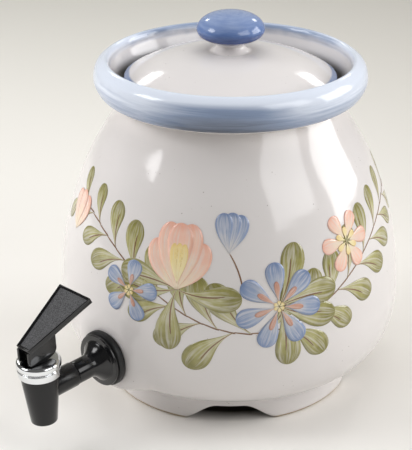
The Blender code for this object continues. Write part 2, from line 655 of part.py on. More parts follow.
def make_seat_cup():
    """The silicone cup: clamped flange, thin wall, floor, and a nose that closes the seat."""
    outer = CHAMBER_RADIUS - CUP_SIDE_CLEARANCE
    inner = outer - CUP_WALL
    flange_top = cup_flange_top()
    flange_bottom = flange_top - CUP_FLANGE_THICKNESS
    # The nose stays one gap above the seat's cone
    nose_bottom = -SEAT_DEPTH - SEAT_CONE + 2 * GAP
    nose_radius = SEAT_RADIUS - GAP
    step_radius = nose_radius + CUP_NOSE_STEP
    floor = CUP_FLOOR_HEIGHT
    socket_bottom = floor - CUP_SOCKET_DEPTH
    bulb_top = floor - CUP_SOCKET_NECK
    outline = [(BARREL_NECK_RADIUS - GAP, flange_top), (BARREL_NECK_RADIUS - GAP, flange_bottom),
               (outer, flange_bottom), (outer, floor - CUP_WALL), (step_radius, -CUP_NOSE_SHOULDER),
               (step_radius, -SEAT_DEPTH + GAP), (nose_radius, nose_bottom), (0.0, nose_bottom)]
    hollow = [(0.0, socket_bottom), (CUP_SOCKET_BULB_RADIUS, socket_bottom),
              (CUP_SOCKET_BULB_RADIUS, bulb_top), (CUP_SOCKET_RADIUS, bulb_top),
              (CUP_SOCKET_RADIUS, floor), (inner, floor), (inner, flange_top)]
    cup = turn("seat_cup", hollow + outline, SMALL_SEGMENTS, barrel_axis, silicone)
    shade_round(cup)


def make_stem():
    """The stem: bulb held in the cup, collar under the spring, and the head with the pin's hole."""
    collar_bottom = CUP_FLOOR_HEIGHT + GAP
    collar_top = collar_bottom + STEM_COLLAR_THICKNESS
    head_top = PIN_HEIGHT + STEM_HEAD_TOP
    head_bottom = PIN_HEIGHT - STEM_HEAD_BOTTOM
    foot = CUP_SOCKET_RADIUS - GAP
    bulb = CUP_SOCKET_BULB_RADIUS - GAP
    bulb_top = CUP_FLOOR_HEIGHT - CUP_SOCKET_NECK - GAP
    bulb_bottom = CUP_FLOOR_HEIGHT - CUP_SOCKET_DEPTH + GAP
    outline = [(0.0, head_top), (STEM_HEAD_RADIUS * STEM_HEAD_CROWN_SHARE, head_top),
               (STEM_HEAD_RADIUS, head_top - STEM_HEAD_RADIUS / 2), (STEM_HEAD_RADIUS, head_bottom),
               (STEM_RADIUS, head_bottom), (STEM_RADIUS, collar_top),
               (STEM_COLLAR_RADIUS, collar_top), (STEM_COLLAR_RADIUS, collar_bottom), (foot, collar_bottom),
               (foot, bulb_top), (bulb, bulb_top), (foot, bulb_bottom), (0.0, bulb_bottom)]
    stem = turn("stem", outline, SMALL_SEGMENTS, barrel_axis, stem_plastic)
    bore = PIN_RADIUS + PIN_BORE_CLEARANCE
    eye = disc("stem_eye", bore, -STEM_HEAD_RADIUS - OVERRUN, STEM_HEAD_RADIUS + OVERRUN, SMALL_SEGMENTS,
               handle_pivot, rotation=(0.0, math.radians(90), 0.0))
    combine(stem, eye, "DIFFERENCE")
    shade_round(stem)
    return collar_top


def make_spring(collar_top):
    """The return spring: one wire, its end turns closed against the collar and the bonnet."""
    half = SPRING_WIRE / 2
    bottom = collar_top + GAP + half
    top = BONNET_TOP - BONNET_TOP_THICKNESS - GAP - half
    turns = SPRING_TURNS + 2 * SPRING_CLOSED_TURNS
    closed_rise = SPRING_CLOSED_TURNS * (SPRING_WIRE + GAP)
    curve = bpy.data.curves.new("return_spring", "CURVE")
    curve.dimensions = "3D"
    curve.bevel_depth = half
    curve.bevel_resolution = 1
    curve.use_fill_caps = True
    spline = curve.splines.new("POLY")
    count = turns * SPRING_POINTS_PER_TURN
    spline.points.add(count)
    heights = np.interp(np.linspace(0, turns, count + 1),
                        [0, SPRING_CLOSED_TURNS, turns - SPRING_CLOSED_TURNS, turns],
                        [bottom, bottom + closed_rise, top - closed_rise, top])
    for i, point in enumerate(spline.points):
        angle = i * 2 * math.pi / SPRING_POINTS_PER_TURN
        point.co = (SPRING_RADIUS * math.cos(angle), SPRING_RADIUS * math.sin(angle), heights[i], 1.0)
    spring = add_object("return_spring", curve_mesh("return_spring", curve), barrel_axis, spring_steel)
    spring.data.shade_smooth()
    pitch = (top - bottom - 2 * closed_rise) / SPRING_TURNS
    least_gap = min(pitch, SPRING_WIRE + GAP) - SPRING_WIRE
    print(f"return spring: least gap between turns {least_gap * 1000:.2f} mm")


def make_handle():
    """The lever: a hollow wedge paddle on two cheeks, which rock on the bonnet about the pin."""
    # Side outline of the cheeks, about the pin
    floor = GAP - HANDLE_PIN_HEIGHT
    toe = -HANDLE_TOE_FORWARD
    heel = HANDLE_HEEL_BACK
    nose = HANDLE_NOSE_HEIGHT - HANDLE_PIN_HEIGHT
    tip = (HANDLE_TIP_BACK, HANDLE_TIP_HEIGHT - HANDLE_PIN_HEIGHT)
    slope = math.atan2(tip[1] - nose, tip[0] - toe)
    length = math.hypot(tip[1] - nose, tip[0] - toe)
    under_nose = HANDLE_DEPTH / 2 / math.cos(slope)

    def under(y):
        """Half way down the paddle, above this place."""
        return nose + (y - toe) * math.tan(slope) - under_nose

    round_ = HANDLE_TOE_ROUND
    outline = arc((toe + round_, floor + round_), round_, 180, 270)
    back = (HANDLE_FLAT_BACK, floor)
    heel_point = (heel, HANDLE_HEEL_HEIGHT - HANDLE_PIN_HEIGHT)
    for t in np.linspace(0, 1, 2 * ARC_STEPS):
        angle = t * math.pi / 2
        outline.append((back[0] + (heel_point[0] - back[0]) * math.sin(angle),
                        heel_point[1] - (heel_point[1] - back[1]) * math.cos(angle)))
    outline += [(heel, under(heel)), (toe, under(toe))]
    handle = prism("handle", outline, HANDLE_NARROW_WIDTH, handle_pivot, handle_plastic, rotation=UPRIGHT)

    # The channel between the cheeks, open to the front, the back and below
    channel_width = HANDLE_NARROW_WIDTH - 2 * HANDLE_CHEEK_WALL
    front = toe - OVERRUN
    rear = heel + OVERRUN
    channel = prism("channel", [(front, floor - OVERRUN), (rear, floor - OVERRUN),
                                (rear, under(heel) + OVERRUN), (front, under(toe) + OVERRUN)],
                    channel_width, handle_pivot, rotation=UPRIGHT)
    combine(handle, channel, "DIFFERENCE")

    # The paddle: a wedge from the narrow nose to the wide tip, sunk panel above, hollow below
    mesh = bpy.data.meshes.new("paddle")
    shape = bmesh.new()
    bmesh.ops.create_cube(shape, size=1.0)
    for corner in shape.verts:
        width = HANDLE_WIDE_WIDTH if corner.co.y > 0 else HANDLE_NARROW_WIDTH
        corner.co = (corner.co.x * width, (corner.co.y + 0.5) * length, (corner.co.z - 0.5) * HANDLE_DEPTH)
    shape.normal_update()
    upper = [f for f in shape.faces if f.normal.z > FACING_SHARE]
    lower = [f for f in shape.faces if f.normal.z < -FACING_SHARE]
    bmesh.ops.inset_region(shape, faces=upper, thickness=HANDLE_BORDER, depth=-HANDLE_PANEL_DEPTH)
    bmesh.ops.inset_region(shape, faces=lower, thickness=HANDLE_SIDE_WALL,
                           depth=HANDLE_PANEL_DEPTH + HANDLE_SKIN - HANDLE_DEPTH)
    shape.to_mesh(mesh)
    shape.free()
    paddle = add_object("paddle", mesh, handle_pivot, location=(0.0, toe, nose), rotation=(slope, 0.0, 0.0))
    combine(handle, paddle, "UNION")
    drill = disc("pin_hole", PIN_RADIUS + PIN_BORE_CLEARANCE, -HANDLE_NARROW_WIDTH, HANDLE_NARROW_WIDTH,
                 SMALL_SEGMENTS, handle_pivot, rotation=(0.0, math.radians(90), 0.0))
    combine(handle, drill, "DIFFERENCE")

    disc("handle_pin", PIN_RADIUS, -HANDLE_NARROW_WIDTH / 2, HANDLE_NARROW_WIDTH / 2, SMALL_SEGMENTS,
         handle_pivot, pin_plastic, rotation=(0.0, math.radians(90), 0.0))


make_crock()
make_lid()
shank_end = make_clamp()
make_shank(shank_end)
make_faucet_body()
make_bonnet()
make_seat_cup()
collar = make_stem()
make_spring(collar)
make_handle()
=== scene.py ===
import json
from math import atan2, cos, degrees, hypot, pi, radians, sin, sqrt, tan, tau

import bmesh
import bpy
import numpy as np
from mathutils import Matrix, Vector


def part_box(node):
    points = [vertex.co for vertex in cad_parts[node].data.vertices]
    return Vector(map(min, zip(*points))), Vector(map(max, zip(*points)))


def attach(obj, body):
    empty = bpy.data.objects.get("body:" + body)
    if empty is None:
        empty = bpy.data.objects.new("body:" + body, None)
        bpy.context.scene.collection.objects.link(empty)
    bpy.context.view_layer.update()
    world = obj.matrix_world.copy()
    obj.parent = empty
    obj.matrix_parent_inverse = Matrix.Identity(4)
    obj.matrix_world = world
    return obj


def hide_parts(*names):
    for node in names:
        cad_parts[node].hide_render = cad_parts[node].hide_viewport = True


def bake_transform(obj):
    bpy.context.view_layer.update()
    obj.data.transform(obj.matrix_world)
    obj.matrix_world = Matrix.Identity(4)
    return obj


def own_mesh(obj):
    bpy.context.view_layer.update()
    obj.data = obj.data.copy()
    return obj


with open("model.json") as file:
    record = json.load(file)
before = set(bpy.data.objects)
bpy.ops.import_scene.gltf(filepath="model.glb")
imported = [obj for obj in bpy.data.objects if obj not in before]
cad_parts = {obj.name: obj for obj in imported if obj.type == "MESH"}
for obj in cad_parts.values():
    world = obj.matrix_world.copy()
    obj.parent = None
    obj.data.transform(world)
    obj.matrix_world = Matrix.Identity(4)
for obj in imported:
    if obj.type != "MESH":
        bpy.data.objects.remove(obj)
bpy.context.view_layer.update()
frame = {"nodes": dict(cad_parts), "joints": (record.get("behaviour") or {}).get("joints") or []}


# Crock. One thrown stoneware pot: rolled rim, round belly, and a foot ring with four arched
# notches. It is dipped in warm white glaze; the rim is brushed with slate-blue stain, and the
# foot's edge is wiped bare, so the tan clay shows.
crock_low, crock_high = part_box("crock")
AXIS = Vector(((crock_low.x + crock_high.x) / 2, (crock_low.y + crock_high.y) / 2, 0.0))
BELLY_RADIUS = (crock_high.x - crock_low.x) / 2
BELLY_HEIGHT = 0.0654
FOOT_RADIUS = 0.0801
FOOT_BAND_RADIUS = 0.0823
FOOT_BAND_HEIGHT = 0.0165
CREASE_RADIUS = 0.0812
CREASE_HEIGHT = 0.0193
CREASE_DEPTH = 0.0006
NECK_RADIUS = 0.0703
NECK_HEIGHT = 0.1929
RIM_RADIUS = 0.0864
RIM_HEIGHT = crock_high.z
BELLY_FULLNESS = 2.1
SHOULDER = ((0.0, 0.0), (0.214, 0.052), (0.427, 0.187), (0.684, 0.483), (0.898, 0.860), (1.0, 1.0))
RIM = ((0.0, 0.0), (0.45, 0.06), (0.79, 0.19), (0.97, 0.40), (1.0, 0.60), (0.87, 0.85),
       (0.54, 1.0), (0.40, 0.90), (0.36, 0.76))
WALL = 0.0070
LEDGE_HEIGHT = 0.1980
LEDGE_OUTER_RADIUS = 0.0710
FLOOR_HEIGHT = 0.0230
FLOOR_FILLET = 0.0080
FOOT_INNER_RADIUS = 0.0670
FOOT_RECESS = 0.0145
FOOT_ROUND = 0.0012
NOTCH_COUNT = 4
NOTCH_HALF_WIDTH = 0.0320
NOTCH_TOP_HALF_WIDTH = 0.0085
NOTCH_HEIGHT = 0.0115
CROCK_STEPS = 240
ROW = 0.0022
RIM_INNER_BLUE = 0.0763
RIM_BLUE_BOTTOM = 0.1958

# The tap's frame: its seat on the wall, and the directions out of the crock and up the barrel
JOINTS = {joint["name"]: joint for joint in frame["joints"]}
UP = Vector(JOINTS["stem_lift"]["axis"]).normalized()
OUT = Vector((0.0, -UP.z, UP.y))
PIVOT = Vector(JOINTS["handle_pull"]["pos_m"])
PIN_ABOVE_TOP = 0.0046
BONNET_TOP = 0.0224
BARREL_OFFSET = 0.0531
BARREL = PIVOT - UP * (BONNET_TOP + PIN_ABOVE_TOP)
SEAT = BARREL - OUT * BARREL_OFFSET
PAD_RADIUS = 0.0190
PAD_BLEND = 0.0150
PAD_WALL = 0.0072
PAD_REACH = 0.03
NUT_FLAT_RADIUS = 0.0178
TAP_HOLE_RADIUS = 0.0105


def curve_through(points, steps):
    """A Catmull-Rom curve through the points, both ends included."""
    given = [Vector(p) for p in points]
    padded = [2 * given[0] - given[1]] + given + [2 * given[-1] - given[-2]]
    curve = []
    for i in range(1, len(padded) - 2):
        a, b, c, d = padded[i - 1:i + 3]
        for step in range(steps):
            t = step / steps
            curve.append(0.5 * (2 * b + (c - a) * t + (2 * a - 5 * b + 4 * c - d) * t ** 2
                                + (3 * b - a - 3 * c + d) * t ** 3))
    curve.append(given[-1])
    return curve


def even_rows(points, spacing):
    """The same line with points at about this spacing."""
    line = np.array([tuple(p) for p in points])
    run = np.concatenate(([0.0], np.cumsum(np.linalg.norm(np.diff(line, axis=0), axis=1))))
    count = max(2, round(run[-1] / spacing) + 1)
    at = np.linspace(0.0, run[-1], count)
    return [Vector((np.interp(d, run, line[:, 0]), np.interp(d, run, line[:, 1]))) for d in at]


def belly_line():
    """The outer side from the crease up to the neck."""
    rise = BELLY_HEIGHT - CREASE_HEIGHT
    swell = BELLY_RADIUS - CREASE_RADIUS
    lower = []
    for angle in np.linspace(pi / 2, 0, 25)[:-1]:
        across = cos(angle) ** (2 / BELLY_FULLNESS)
        down = sin(angle) ** (2 / BELLY_FULLNESS)
        lower.append(Vector((CREASE_RADIUS + swell * across, BELLY_HEIGHT - rise * down)))
    fall = NECK_HEIGHT - BELLY_HEIGHT
    narrowing = BELLY_RADIUS - NECK_RADIUS
    shoulder = [(BELLY_RADIUS - r * narrowing, BELLY_HEIGHT + z * fall) for z, r in SHOULDER]
    return lower + curve_through(shoulder, 10)


def turned(outline, steps):
    """Spin a half outline of (radius, height) about Z into one closed mesh."""
    shape = bmesh.new()
    chain = [shape.verts.new((p[0], 0.0, p[1])) for p in outline]
    for first, second in zip(chain, chain[1:]):
        shape.edges.new((first, second))
    bmesh.ops.spin(shape, geom=shape.verts[:] + shape.edges[:], cent=(0, 0, 0), axis=(0, 0, 1),
                   dvec=(0, 0, 0), angle=tau, steps=steps, use_merge=True)
    bmesh.ops.remove_doubles(shape, verts=shape.verts, dist=0.000002)
    bmesh.ops.recalc_face_normals(shape, faces=shape.faces)
    return shape


def rod(radius, low, high, steps):
    """A round rod about Z."""
    return turned([(0.0, low), (radius, low), (radius, high), (0.0, high)], steps)


def add_object(name, data):
    """An object in the scene that holds a mesh, a lamp or a camera."""
    made = bpy.data.objects.new(name, data)
    bpy.context.scene.collection.objects.link(made)
    return made


def mesh_object(name, shape, place=None):
    """Put a bmesh in place and turn it into an object."""
    if place is not None:
        bmesh.ops.transform(shape, matrix=place, verts=shape.verts)
    mesh = bpy.data.meshes.new(name)
    shape.to_mesh(mesh)
    shape.free()
    return add_object(name, mesh)


def finish_piece(shape, name, body, material, sharp=40, stands_for=(), place=None):
    """Turn a bmesh into a smooth-shaded piece; one with no body is blended afterwards."""
    piece = mesh_object(name, shape, place)
    piece.data.shade_smooth()
    piece.data.set_sharp_from_angle(angle=radians(sharp))
    piece.data.materials.append(material)
    if body is not None:
        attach(piece, body)
    if stands_for:
        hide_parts(*stands_for)
    return piece


def cut(piece, shape, place, operation="DIFFERENCE"):
    """Cut another solid, put in place, out of a piece or join it on; the mesh keeps the result."""
    tool = mesh_object("tool", shape, place)
    mesh = tool.data
    boolean = piece.modifiers.new("cut", "BOOLEAN")
    boolean.operation = operation
    boolean.object = tool
    bpy.context.view_layer.update()
    evaluated = piece.evaluated_get(bpy.context.evaluated_depsgraph_get())
    result = bpy.data.meshes.new_from_object(evaluated)
    piece.modifiers.remove(boolean)
    old = piece.data
    piece.data = result
    bpy.data.meshes.remove(old)
    bpy.data.objects.remove(tool)
    bpy.data.meshes.remove(mesh)


def ease(value, start, end):
    """A smooth step from 0 at start to 1 at end."""
    t = min(max((value - start) / (end - start), 0.0), 1.0)
    return t * t * (3 - 2 * t)


def add_node(tree, kind, inputs=(), **settings):
    """Add a shader node. An input is a value, a socket, or a node that gives its first output.

    Inputs are a list in the node's own order, or go by their sockets' names or numbers.
    """
    made = tree.nodes.new("ShaderNode" + kind)
    for key, value in settings.items():
        setattr(made, key, value)
    for socket, value in inputs.items() if isinstance(inputs, dict) else enumerate(inputs):
        if isinstance(value, bpy.types.Node):
            value = value.outputs[0]
        if isinstance(value, bpy.types.NodeSocket):
            tree.links.new(value, made.inputs[socket])
        else:
            made.inputs[socket].default_value = value
    return made


def tint(colour):
    """An sRGB hex colour as linear RGBA."""
    rgb = [int(colour[i:i + 2], 16) / 255 for i in (0, 2, 4)]
    return (*[c / 12.92 if c <= 0.04045 else ((c + 0.055) / 1.055) ** 2.4 for c in rgb], 1.0)


def new_material(name):
    """An empty material with its tree, its Principled shader and its Object coordinates."""
    material = bpy.data.materials.new(name)
    material.use_nodes = True
    tree = material.node_tree
    place = add_node(tree, "TexCoord").outputs["Object"]
    return material, tree, tree.nodes["Principled BSDF"], place


WHITE_GLAZE = "E5E0DE"
WHITE_GLAZE_COOL = "DFDBDA"
# Rim blues, darkest facing down, palest facing up: partly glaze pooling, partly painted shade
RIM_BLUES = ("565F70", "90A0BC", "DEE5F2")
# Painted shade in the rim's stain: darkest towards the camera and at the back, paler at the sides
STAIN_SHADE_FACING = radians(-49.0)
RIM_SHADE_LOADS = (0.27, 0.45, 0.52)
BARE_CLAY = "A98F63"
# Bare clay under the foot, painted darker than at its edge: painted shade under the crock
BARE_CLAY_SHADED_UNDER = "6E5A41"
# Painted shade in the gallery round the lid, over thinly glazed clay
THIN_GLAZE_AND_SHADE = "4F4A3C"
SPECK = "8C7F78"
GLAZE_ROUGHNESS = 0.11
GLAZE_IOR = 1.55
GLAZE_RELIEF = 0.00006
CLAY_ROUGHNESS = 0.75
BARE_FOOT_HEIGHT = 0.0014
# How high and how strongly the gallery's painted shade reaches above the ledge
GALLERY_SHADE_ABOVE_LEDGE = 0.0095
GALLERY_SHADE_SHARE = 0.85
BRUSH_FINENESS = 420.0
BRUSH_SWEEP = 1.6
EDGE_WANDER = 0.0004
CLOUD_SCALE = 22.0
SPECK_SCALE = 260.0
SPECK_PATCH_SCALE = 75.0
PEEL_SCALE = 160.0


def glazed_stoneware(name, blue_masks, blues, shade_loads, clay_height=None, gallery_shade_from=None):
    """Glossy glaze on stoneware, with brushed blue bands where the masks say.

    The blues are the darkest, facing down, the middle one and the palest, facing up: partly glaze
    pooling, partly painted shade and highlight. The shade loads say how much paler the stain is
    painted everywhere, and how much darker towards the camera and at the back: painted shade.

    A mask is (what, low, high): 'z' or 'r' eased in between low and high, or out when low is
    the larger one. The masks of one band multiply; the bands add up. Below clay_height the foot
    is bare, and the clay under it is painted darker as painted shade. Below the height given
    last the inside is darkened as painted shade in the gallery, over thinly glazed clay.
    """
    material, tree, shader, place = new_material(name)
    centred = add_node(tree, "Mapping", {"Vector": place, "Location": -AXIS})
    split = add_node(tree, "SeparateXYZ", [centred])
    x, y, z = split.outputs
    across = add_node(tree, "CombineXYZ", [x, y])
    radius = add_node(tree, "VectorMath", [across], operation="LENGTH").outputs["Value"]
    angle = add_node(tree, "Math", [y, x], operation="ARCTAN2")
    # Brush marks run round the pot: short in height, long in angle
    low = add_node(tree, "Math", [z, BRUSH_FINENESS], operation="MULTIPLY")
    side = add_node(tree, "Math", [radius, BRUSH_FINENESS], operation="MULTIPLY")
    turn = add_node(tree, "Math", [angle, BRUSH_SWEEP], operation="MULTIPLY")
    swept = add_node(tree, "CombineXYZ", [turn, low, side])
    streaks = add_node(tree, "TexNoise", {"Vector": swept, "Scale": 1.0, "Detail": 5.0,
                                          "Roughness": 0.6})
    wander = add_node(tree, "TexNoise", {"Vector": centred, "Scale": 90.0, "Detail": 2.0})
    shift = add_node(tree, "MapRange", {0: wander, 3: -EDGE_WANDER, 4: EDGE_WANDER})
    sources = {"z": z, "r": radius}
    blue = 0.0
    for band in blue_masks:
        mask = 1.0
        for what, start, end in band:
            moved = add_node(tree, "Math", [sources[what], shift], operation="ADD")
            step = add_node(tree, "MapRange", [moved, start, end], interpolation_type="SMOOTHSTEP")
            mask = add_node(tree, "Math", [mask, step], operation="MULTIPLY")
        blue = add_node(tree, "Math", [blue, mask], operation="MAXIMUM")
    # Paler facing up, darker facing down: partly glaze pooling, partly painted highlight and shade
    normal = add_node(tree, "NewGeometry").outputs["Normal"]
    facing = add_node(tree, "SeparateXYZ", [normal]).outputs[2]
    pooled_and_shaded = add_node(tree, "MapRange", {0: facing, 1: -1.0, 2: 1.0, 4: 0.86})
    marks = add_node(tree, "MapRange", [streaks, 0.3, 0.7, -0.05, 0.18])
    # Painted shade in the stain: darker towards the camera and at the back, paler at the sides
    paler_at_sides, shade_in_front, shade_at_back = shade_loads
    from_shade_facing = add_node(tree, "Math", [angle, -STAIN_SHADE_FACING], operation="ADD")
    nearness = add_node(tree, "Math", [from_shade_facing], operation="COSINE")
    ragged = add_node(tree, "MapRange", [streaks, 0.3, 0.7, -0.09, 0.09])
    towards = add_node(tree, "Math", [nearness, ragged], operation="ADD")
    front = add_node(tree, "MapRange", {0: towards, 1: 0.84, 2: 1.02, 4: shade_in_front})
    off_crest = add_node(tree, "MapRange", [facing, 0.35, 0.90, 1.0, 0.2])
    pulled = add_node(tree, "Math", [front, off_crest], operation="MULTIPLY")
    back = add_node(tree, "MapRange", [towards, -0.30, -0.80, paler_at_sides, paler_at_sides - shade_at_back],
                    interpolation_type="SMOOTHSTEP")
    depth = add_node(tree, "Math", [back, pulled], operation="SUBTRACT")
    for more in (marks, pooled_and_shaded):
        depth = add_node(tree, "Math", [depth, more], operation="ADD")
    stain = add_node(tree, "ValToRGB", [depth])
    ramp = stain.color_ramp.elements
    ramp[0].position = 0.1
    ramp[0].color = tint(blues[0])
    ramp[1].position = 0.88
    ramp[1].color = tint(blues[2])
    ramp.new(0.5).color = tint(blues[1])
    cloud = add_node(tree, "TexNoise", {"Vector": centred, "Scale": CLOUD_SCALE, "Detail": 3.0})
    white = add_node(tree, "Mix", {0: cloud, 6: tint(WHITE_GLAZE), 7: tint(WHITE_GLAZE_COOL)},
                     data_type="RGBA").outputs[2]
    dots = add_node(tree, "TexVoronoi", {"Vector": centred, "Scale": SPECK_SCALE})
    rare = add_node(tree, "TexNoise", {"Vector": centred, "Scale": SPECK_PATCH_SCALE,
                                       "Detail": 1.0})
    small = add_node(tree, "MapRange", [dots.outputs["Distance"], 0.12, 0.06])
    few = add_node(tree, "MapRange", {0: rare, 1: 0.60, 2: 0.66, 4: 0.6})
    speck = add_node(tree, "Math", [small, few], operation="MULTIPLY")
    specked = add_node(tree, "Mix", {0: speck, 6: white, 7: tint(SPECK)},
                       data_type="RGBA").outputs[2]
    base = add_node(tree, "Mix", {0: blue, 6: specked, 7: stain}, data_type="RGBA").outputs[2]
    shader.inputs["Roughness"].default_value = GLAZE_ROUGHNESS
    if clay_height is not None:
        edge = add_node(tree, "Math", [z, shift], operation="ADD")
        wiped = add_node(tree, "MapRange", [edge, clay_height * 1.3, clay_height * 0.7])
        # Under the foot the bare clay is painted darker: painted shade
        within = add_node(tree, "MapRange", [radius, FOOT_INNER_RADIUS + 0.002,
                                             FOOT_INNER_RADIUS + 0.001])
        below = add_node(tree, "MapRange", [z, FOOT_RECESS + 0.002, FOOT_RECESS + 0.001])
        under = add_node(tree, "Math", [within, below], operation="MULTIPLY")
        bare = add_node(tree, "Math", [wiped, under], operation="MAXIMUM")
        clay = add_node(tree, "Mix", {0: under, 6: tint(BARE_CLAY), 7: tint(BARE_CLAY_SHADED_UNDER)},
                        data_type="RGBA").outputs[2]
        base = add_node(tree, "Mix", {0: bare, 6: base, 7: clay}, data_type="RGBA").outputs[2]
        # Painted shade in the gallery round the lid, darkest at the ledge, over thinly glazed clay
        deep = add_node(tree, "MapRange", [z, gallery_shade_from, gallery_shade_from - 0.007],
                        interpolation_type="SMOOTHSTEP")
        inner = add_node(tree, "MapRange", [radius, RIM_INNER_BLUE, RIM_INNER_BLUE - 0.002])
        high = add_node(tree, "MapRange", [z, LEDGE_HEIGHT - 0.006, LEDGE_HEIGHT])
        gallery = deep
        for share in (inner, high, GALLERY_SHADE_SHARE):
            gallery = add_node(tree, "Math", [gallery, share], operation="MULTIPLY")
        base = add_node(tree, "Mix", {0: gallery, 6: base, 7: tint(THIN_GLAZE_AND_SHADE)},
                        data_type="RGBA").outputs[2]
        rough = add_node(tree, "MapRange", {0: bare, 3: GLAZE_ROUGHNESS, 4: CLAY_ROUGHNESS})
        tree.links.new(rough.outputs[0], shader.inputs["Roughness"])
    tree.links.new(base, shader.inputs["Base Color"])
    shader.inputs["IOR"].default_value = GLAZE_IOR
    # Faint throwing rings and orange peel, enough to bend the reflections
    rings = add_node(tree, "TexNoise", {"Vector": swept, "Scale": 0.45, "Detail": 1.0})
    peel = add_node(tree, "TexNoise", {"Vector": centred, "Scale": PEEL_SCALE, "Detail": 1.0})
    both = add_node(tree, "Mix", {0: 0.25, 2: rings, 3: peel})
    bump = add_node(tree, "Bump", {"Height": both, "Strength": 1.0, "Distance": GLAZE_RELIEF})
    tree.links.new(bump.outputs[0], shader.inputs["Normal"])
    return material


def inner_line(outer):
    """The inside of the wall, square to the outer line."""
    flat = np.array([tuple(p) for p in outer])
    along = np.gradient(flat, axis=0)
    along /= np.linalg.norm(along, axis=1)[:, None]
    return [Vector(p) for p in flat + WALL * np.column_stack((-along[:, 1], along[:, 0]))]


def notch_rise(point):
    """How high the foot's edge is lifted here by the nearest arched notch."""
    nearest = atan2(point.y, point.x) % (tau / NOTCH_COUNT) - pi / NOTCH_COUNT
    across = abs(hypot(point.x, point.y) * sin(nearest))
    share = (NOTCH_HALF_WIDTH - across) / (NOTCH_HALF_WIDTH - NOTCH_TOP_HALF_WIDTH)
    share = min(max(share, 0.0), 1.0)
    return NOTCH_HEIGHT * (1 - cos(pi * share)) / 2


BELLY = even_rows(belly_line(), ROW)
rim_line = [(NECK_RADIUS + r * (RIM_RADIUS - NECK_RADIUS),
             NECK_HEIGHT + z * (RIM_HEIGHT - NECK_HEIGHT)) for r, z in RIM]
inside = inner_line(BELLY)
fillet_top = FLOOR_HEIGHT + FLOOR_FILLET
inner_wall = [p for p in inside if p.y > fillet_top]
corner = Vector((inner_wall[0].x - FLOOR_FILLET, fillet_top))
inner_fillet = [corner + FLOOR_FILLET * Vector((cos(a), sin(a)))
                for a in np.linspace(-pi / 2, 0, 7)[:-1]]
foot = [(0.0, FOOT_RECESS), (FOOT_INNER_RADIUS - 2 * FOOT_ROUND, FOOT_RECESS),
        (FOOT_INNER_RADIUS - FOOT_ROUND, FOOT_RECESS - FOOT_ROUND), (FOOT_INNER_RADIUS, FOOT_ROUND),
        (FOOT_INNER_RADIUS + FOOT_ROUND, 0.0), (FOOT_RADIUS - FOOT_ROUND, 0.0),
        (FOOT_RADIUS, FOOT_ROUND / 2), (FOOT_RADIUS + FOOT_ROUND / 2, 2 * FOOT_ROUND),
        (FOOT_BAND_RADIUS, FOOT_BAND_HEIGHT * 0.8),
        (FOOT_BAND_RADIUS - CREASE_DEPTH, FOOT_BAND_HEIGHT)]
outline = even_rows(foot, ROW / 2) + BELLY
outline += even_rows(curve_through(rim_line, 8), ROW / 2)[1:]
ledge = (LEDGE_OUTER_RADIUS, LEDGE_HEIGHT)
outline += even_rows([rim_line[-1], ledge], ROW)[1:]
outline += even_rows([ledge, (inner_wall[-1].x, LEDGE_HEIGHT)], ROW)[1:]
outline += inner_wall[::-1] + inner_fillet[::-1]
outline += even_rows([inner_fillet[0], (0.0, FLOOR_HEIGHT)], 2 * ROW)[1:]
pot = turned(outline, CROCK_STEPS)
# Each row of the foot is pressed up into the notches, the outer rows up to the crease
for vertex in pot.verts:
    radius = hypot(vertex.co.x, vertex.co.y)
    outer = radius > (FOOT_RADIUS + FOOT_INNER_RADIUS) / 2
    top = CREASE_HEIGHT if outer else FOOT_RECESS
    if radius > FOOT_INNER_RADIUS - 2.5 * FOOT_ROUND and vertex.co.z < top - 1e-5:
        rise = notch_rise(vertex.co)
        vertex.co.z = rise + vertex.co.z * (1 - rise / top)
# The wall is paddled flat for the tap's gasket outside and for its nut inside
bmesh.ops.translate(pot, verts=pot.verts, vec=AXIS)
belly_radii = [p.x for p in BELLY]
belly_heights = [p.y for p in BELLY]
for vertex in pot.verts:
    from_seat = vertex.co - SEAT
    if abs(from_seat.dot(OUT)) > PAD_REACH or not CREASE_HEIGHT <= vertex.co.z <= NECK_HEIGHT:
        continue
    beside = hypot(from_seat.x, from_seat.dot(UP))
    reach = hypot(vertex.co.x - AXIS.x, vertex.co.y - AXIS.y)
    wall_radius = np.interp(vertex.co.z, belly_heights, belly_radii)
    if reach > wall_radius - WALL / 2:
        share = 1 - ease(beside, PAD_RADIUS, PAD_RADIUS + PAD_BLEND)
        vertex.co -= OUT * from_seat.dot(OUT) * share
    else:
        share = 1 - ease(beside, NUT_FLAT_RADIUS, NUT_FLAT_RADIUS + PAD_BLEND / 2)
        vertex.co -= OUT * (from_seat.dot(OUT) + PAD_WALL) * share
rim_band = (("z", RIM_BLUE_BOTTOM, RIM_BLUE_BOTTOM + 0.0012),
            ("r", RIM_INNER_BLUE - 0.0008, RIM_INNER_BLUE + 0.0008))
crock_glaze = glazed_stoneware("glazed_stoneware_blue_rim", [rim_band], RIM_BLUES, RIM_SHADE_LOADS,
                               BARE_FOOT_HEIGHT, LEDGE_HEIGHT + GALLERY_SHADE_ABOVE_LEDGE)
crock = finish_piece(pot, "stoneware_crock", "crock_and_tap", crock_glaze, sharp=50,
                     stands_for=["crock"])

# Turns a piece drawn upright about the origin so that it points out of the crock from the seat
ALONG_SHANK = Matrix.Translation(SEAT) @ Matrix((Vector((1, 0, 0)), UP, OUT)).transposed().to_4x4()
# Moves a piece drawn upright about the origin onto the barrel's axis
ON_BARREL = Matrix.Translation(BARREL) @ Matrix((Vector((1, 0, 0)), -OUT, UP)).transposed().to_4x4()
drill = rod(TAP_HOLE_RADIUS, -0.02, 0.01, 48)
cut(crock, drill, ALONG_SHANK)


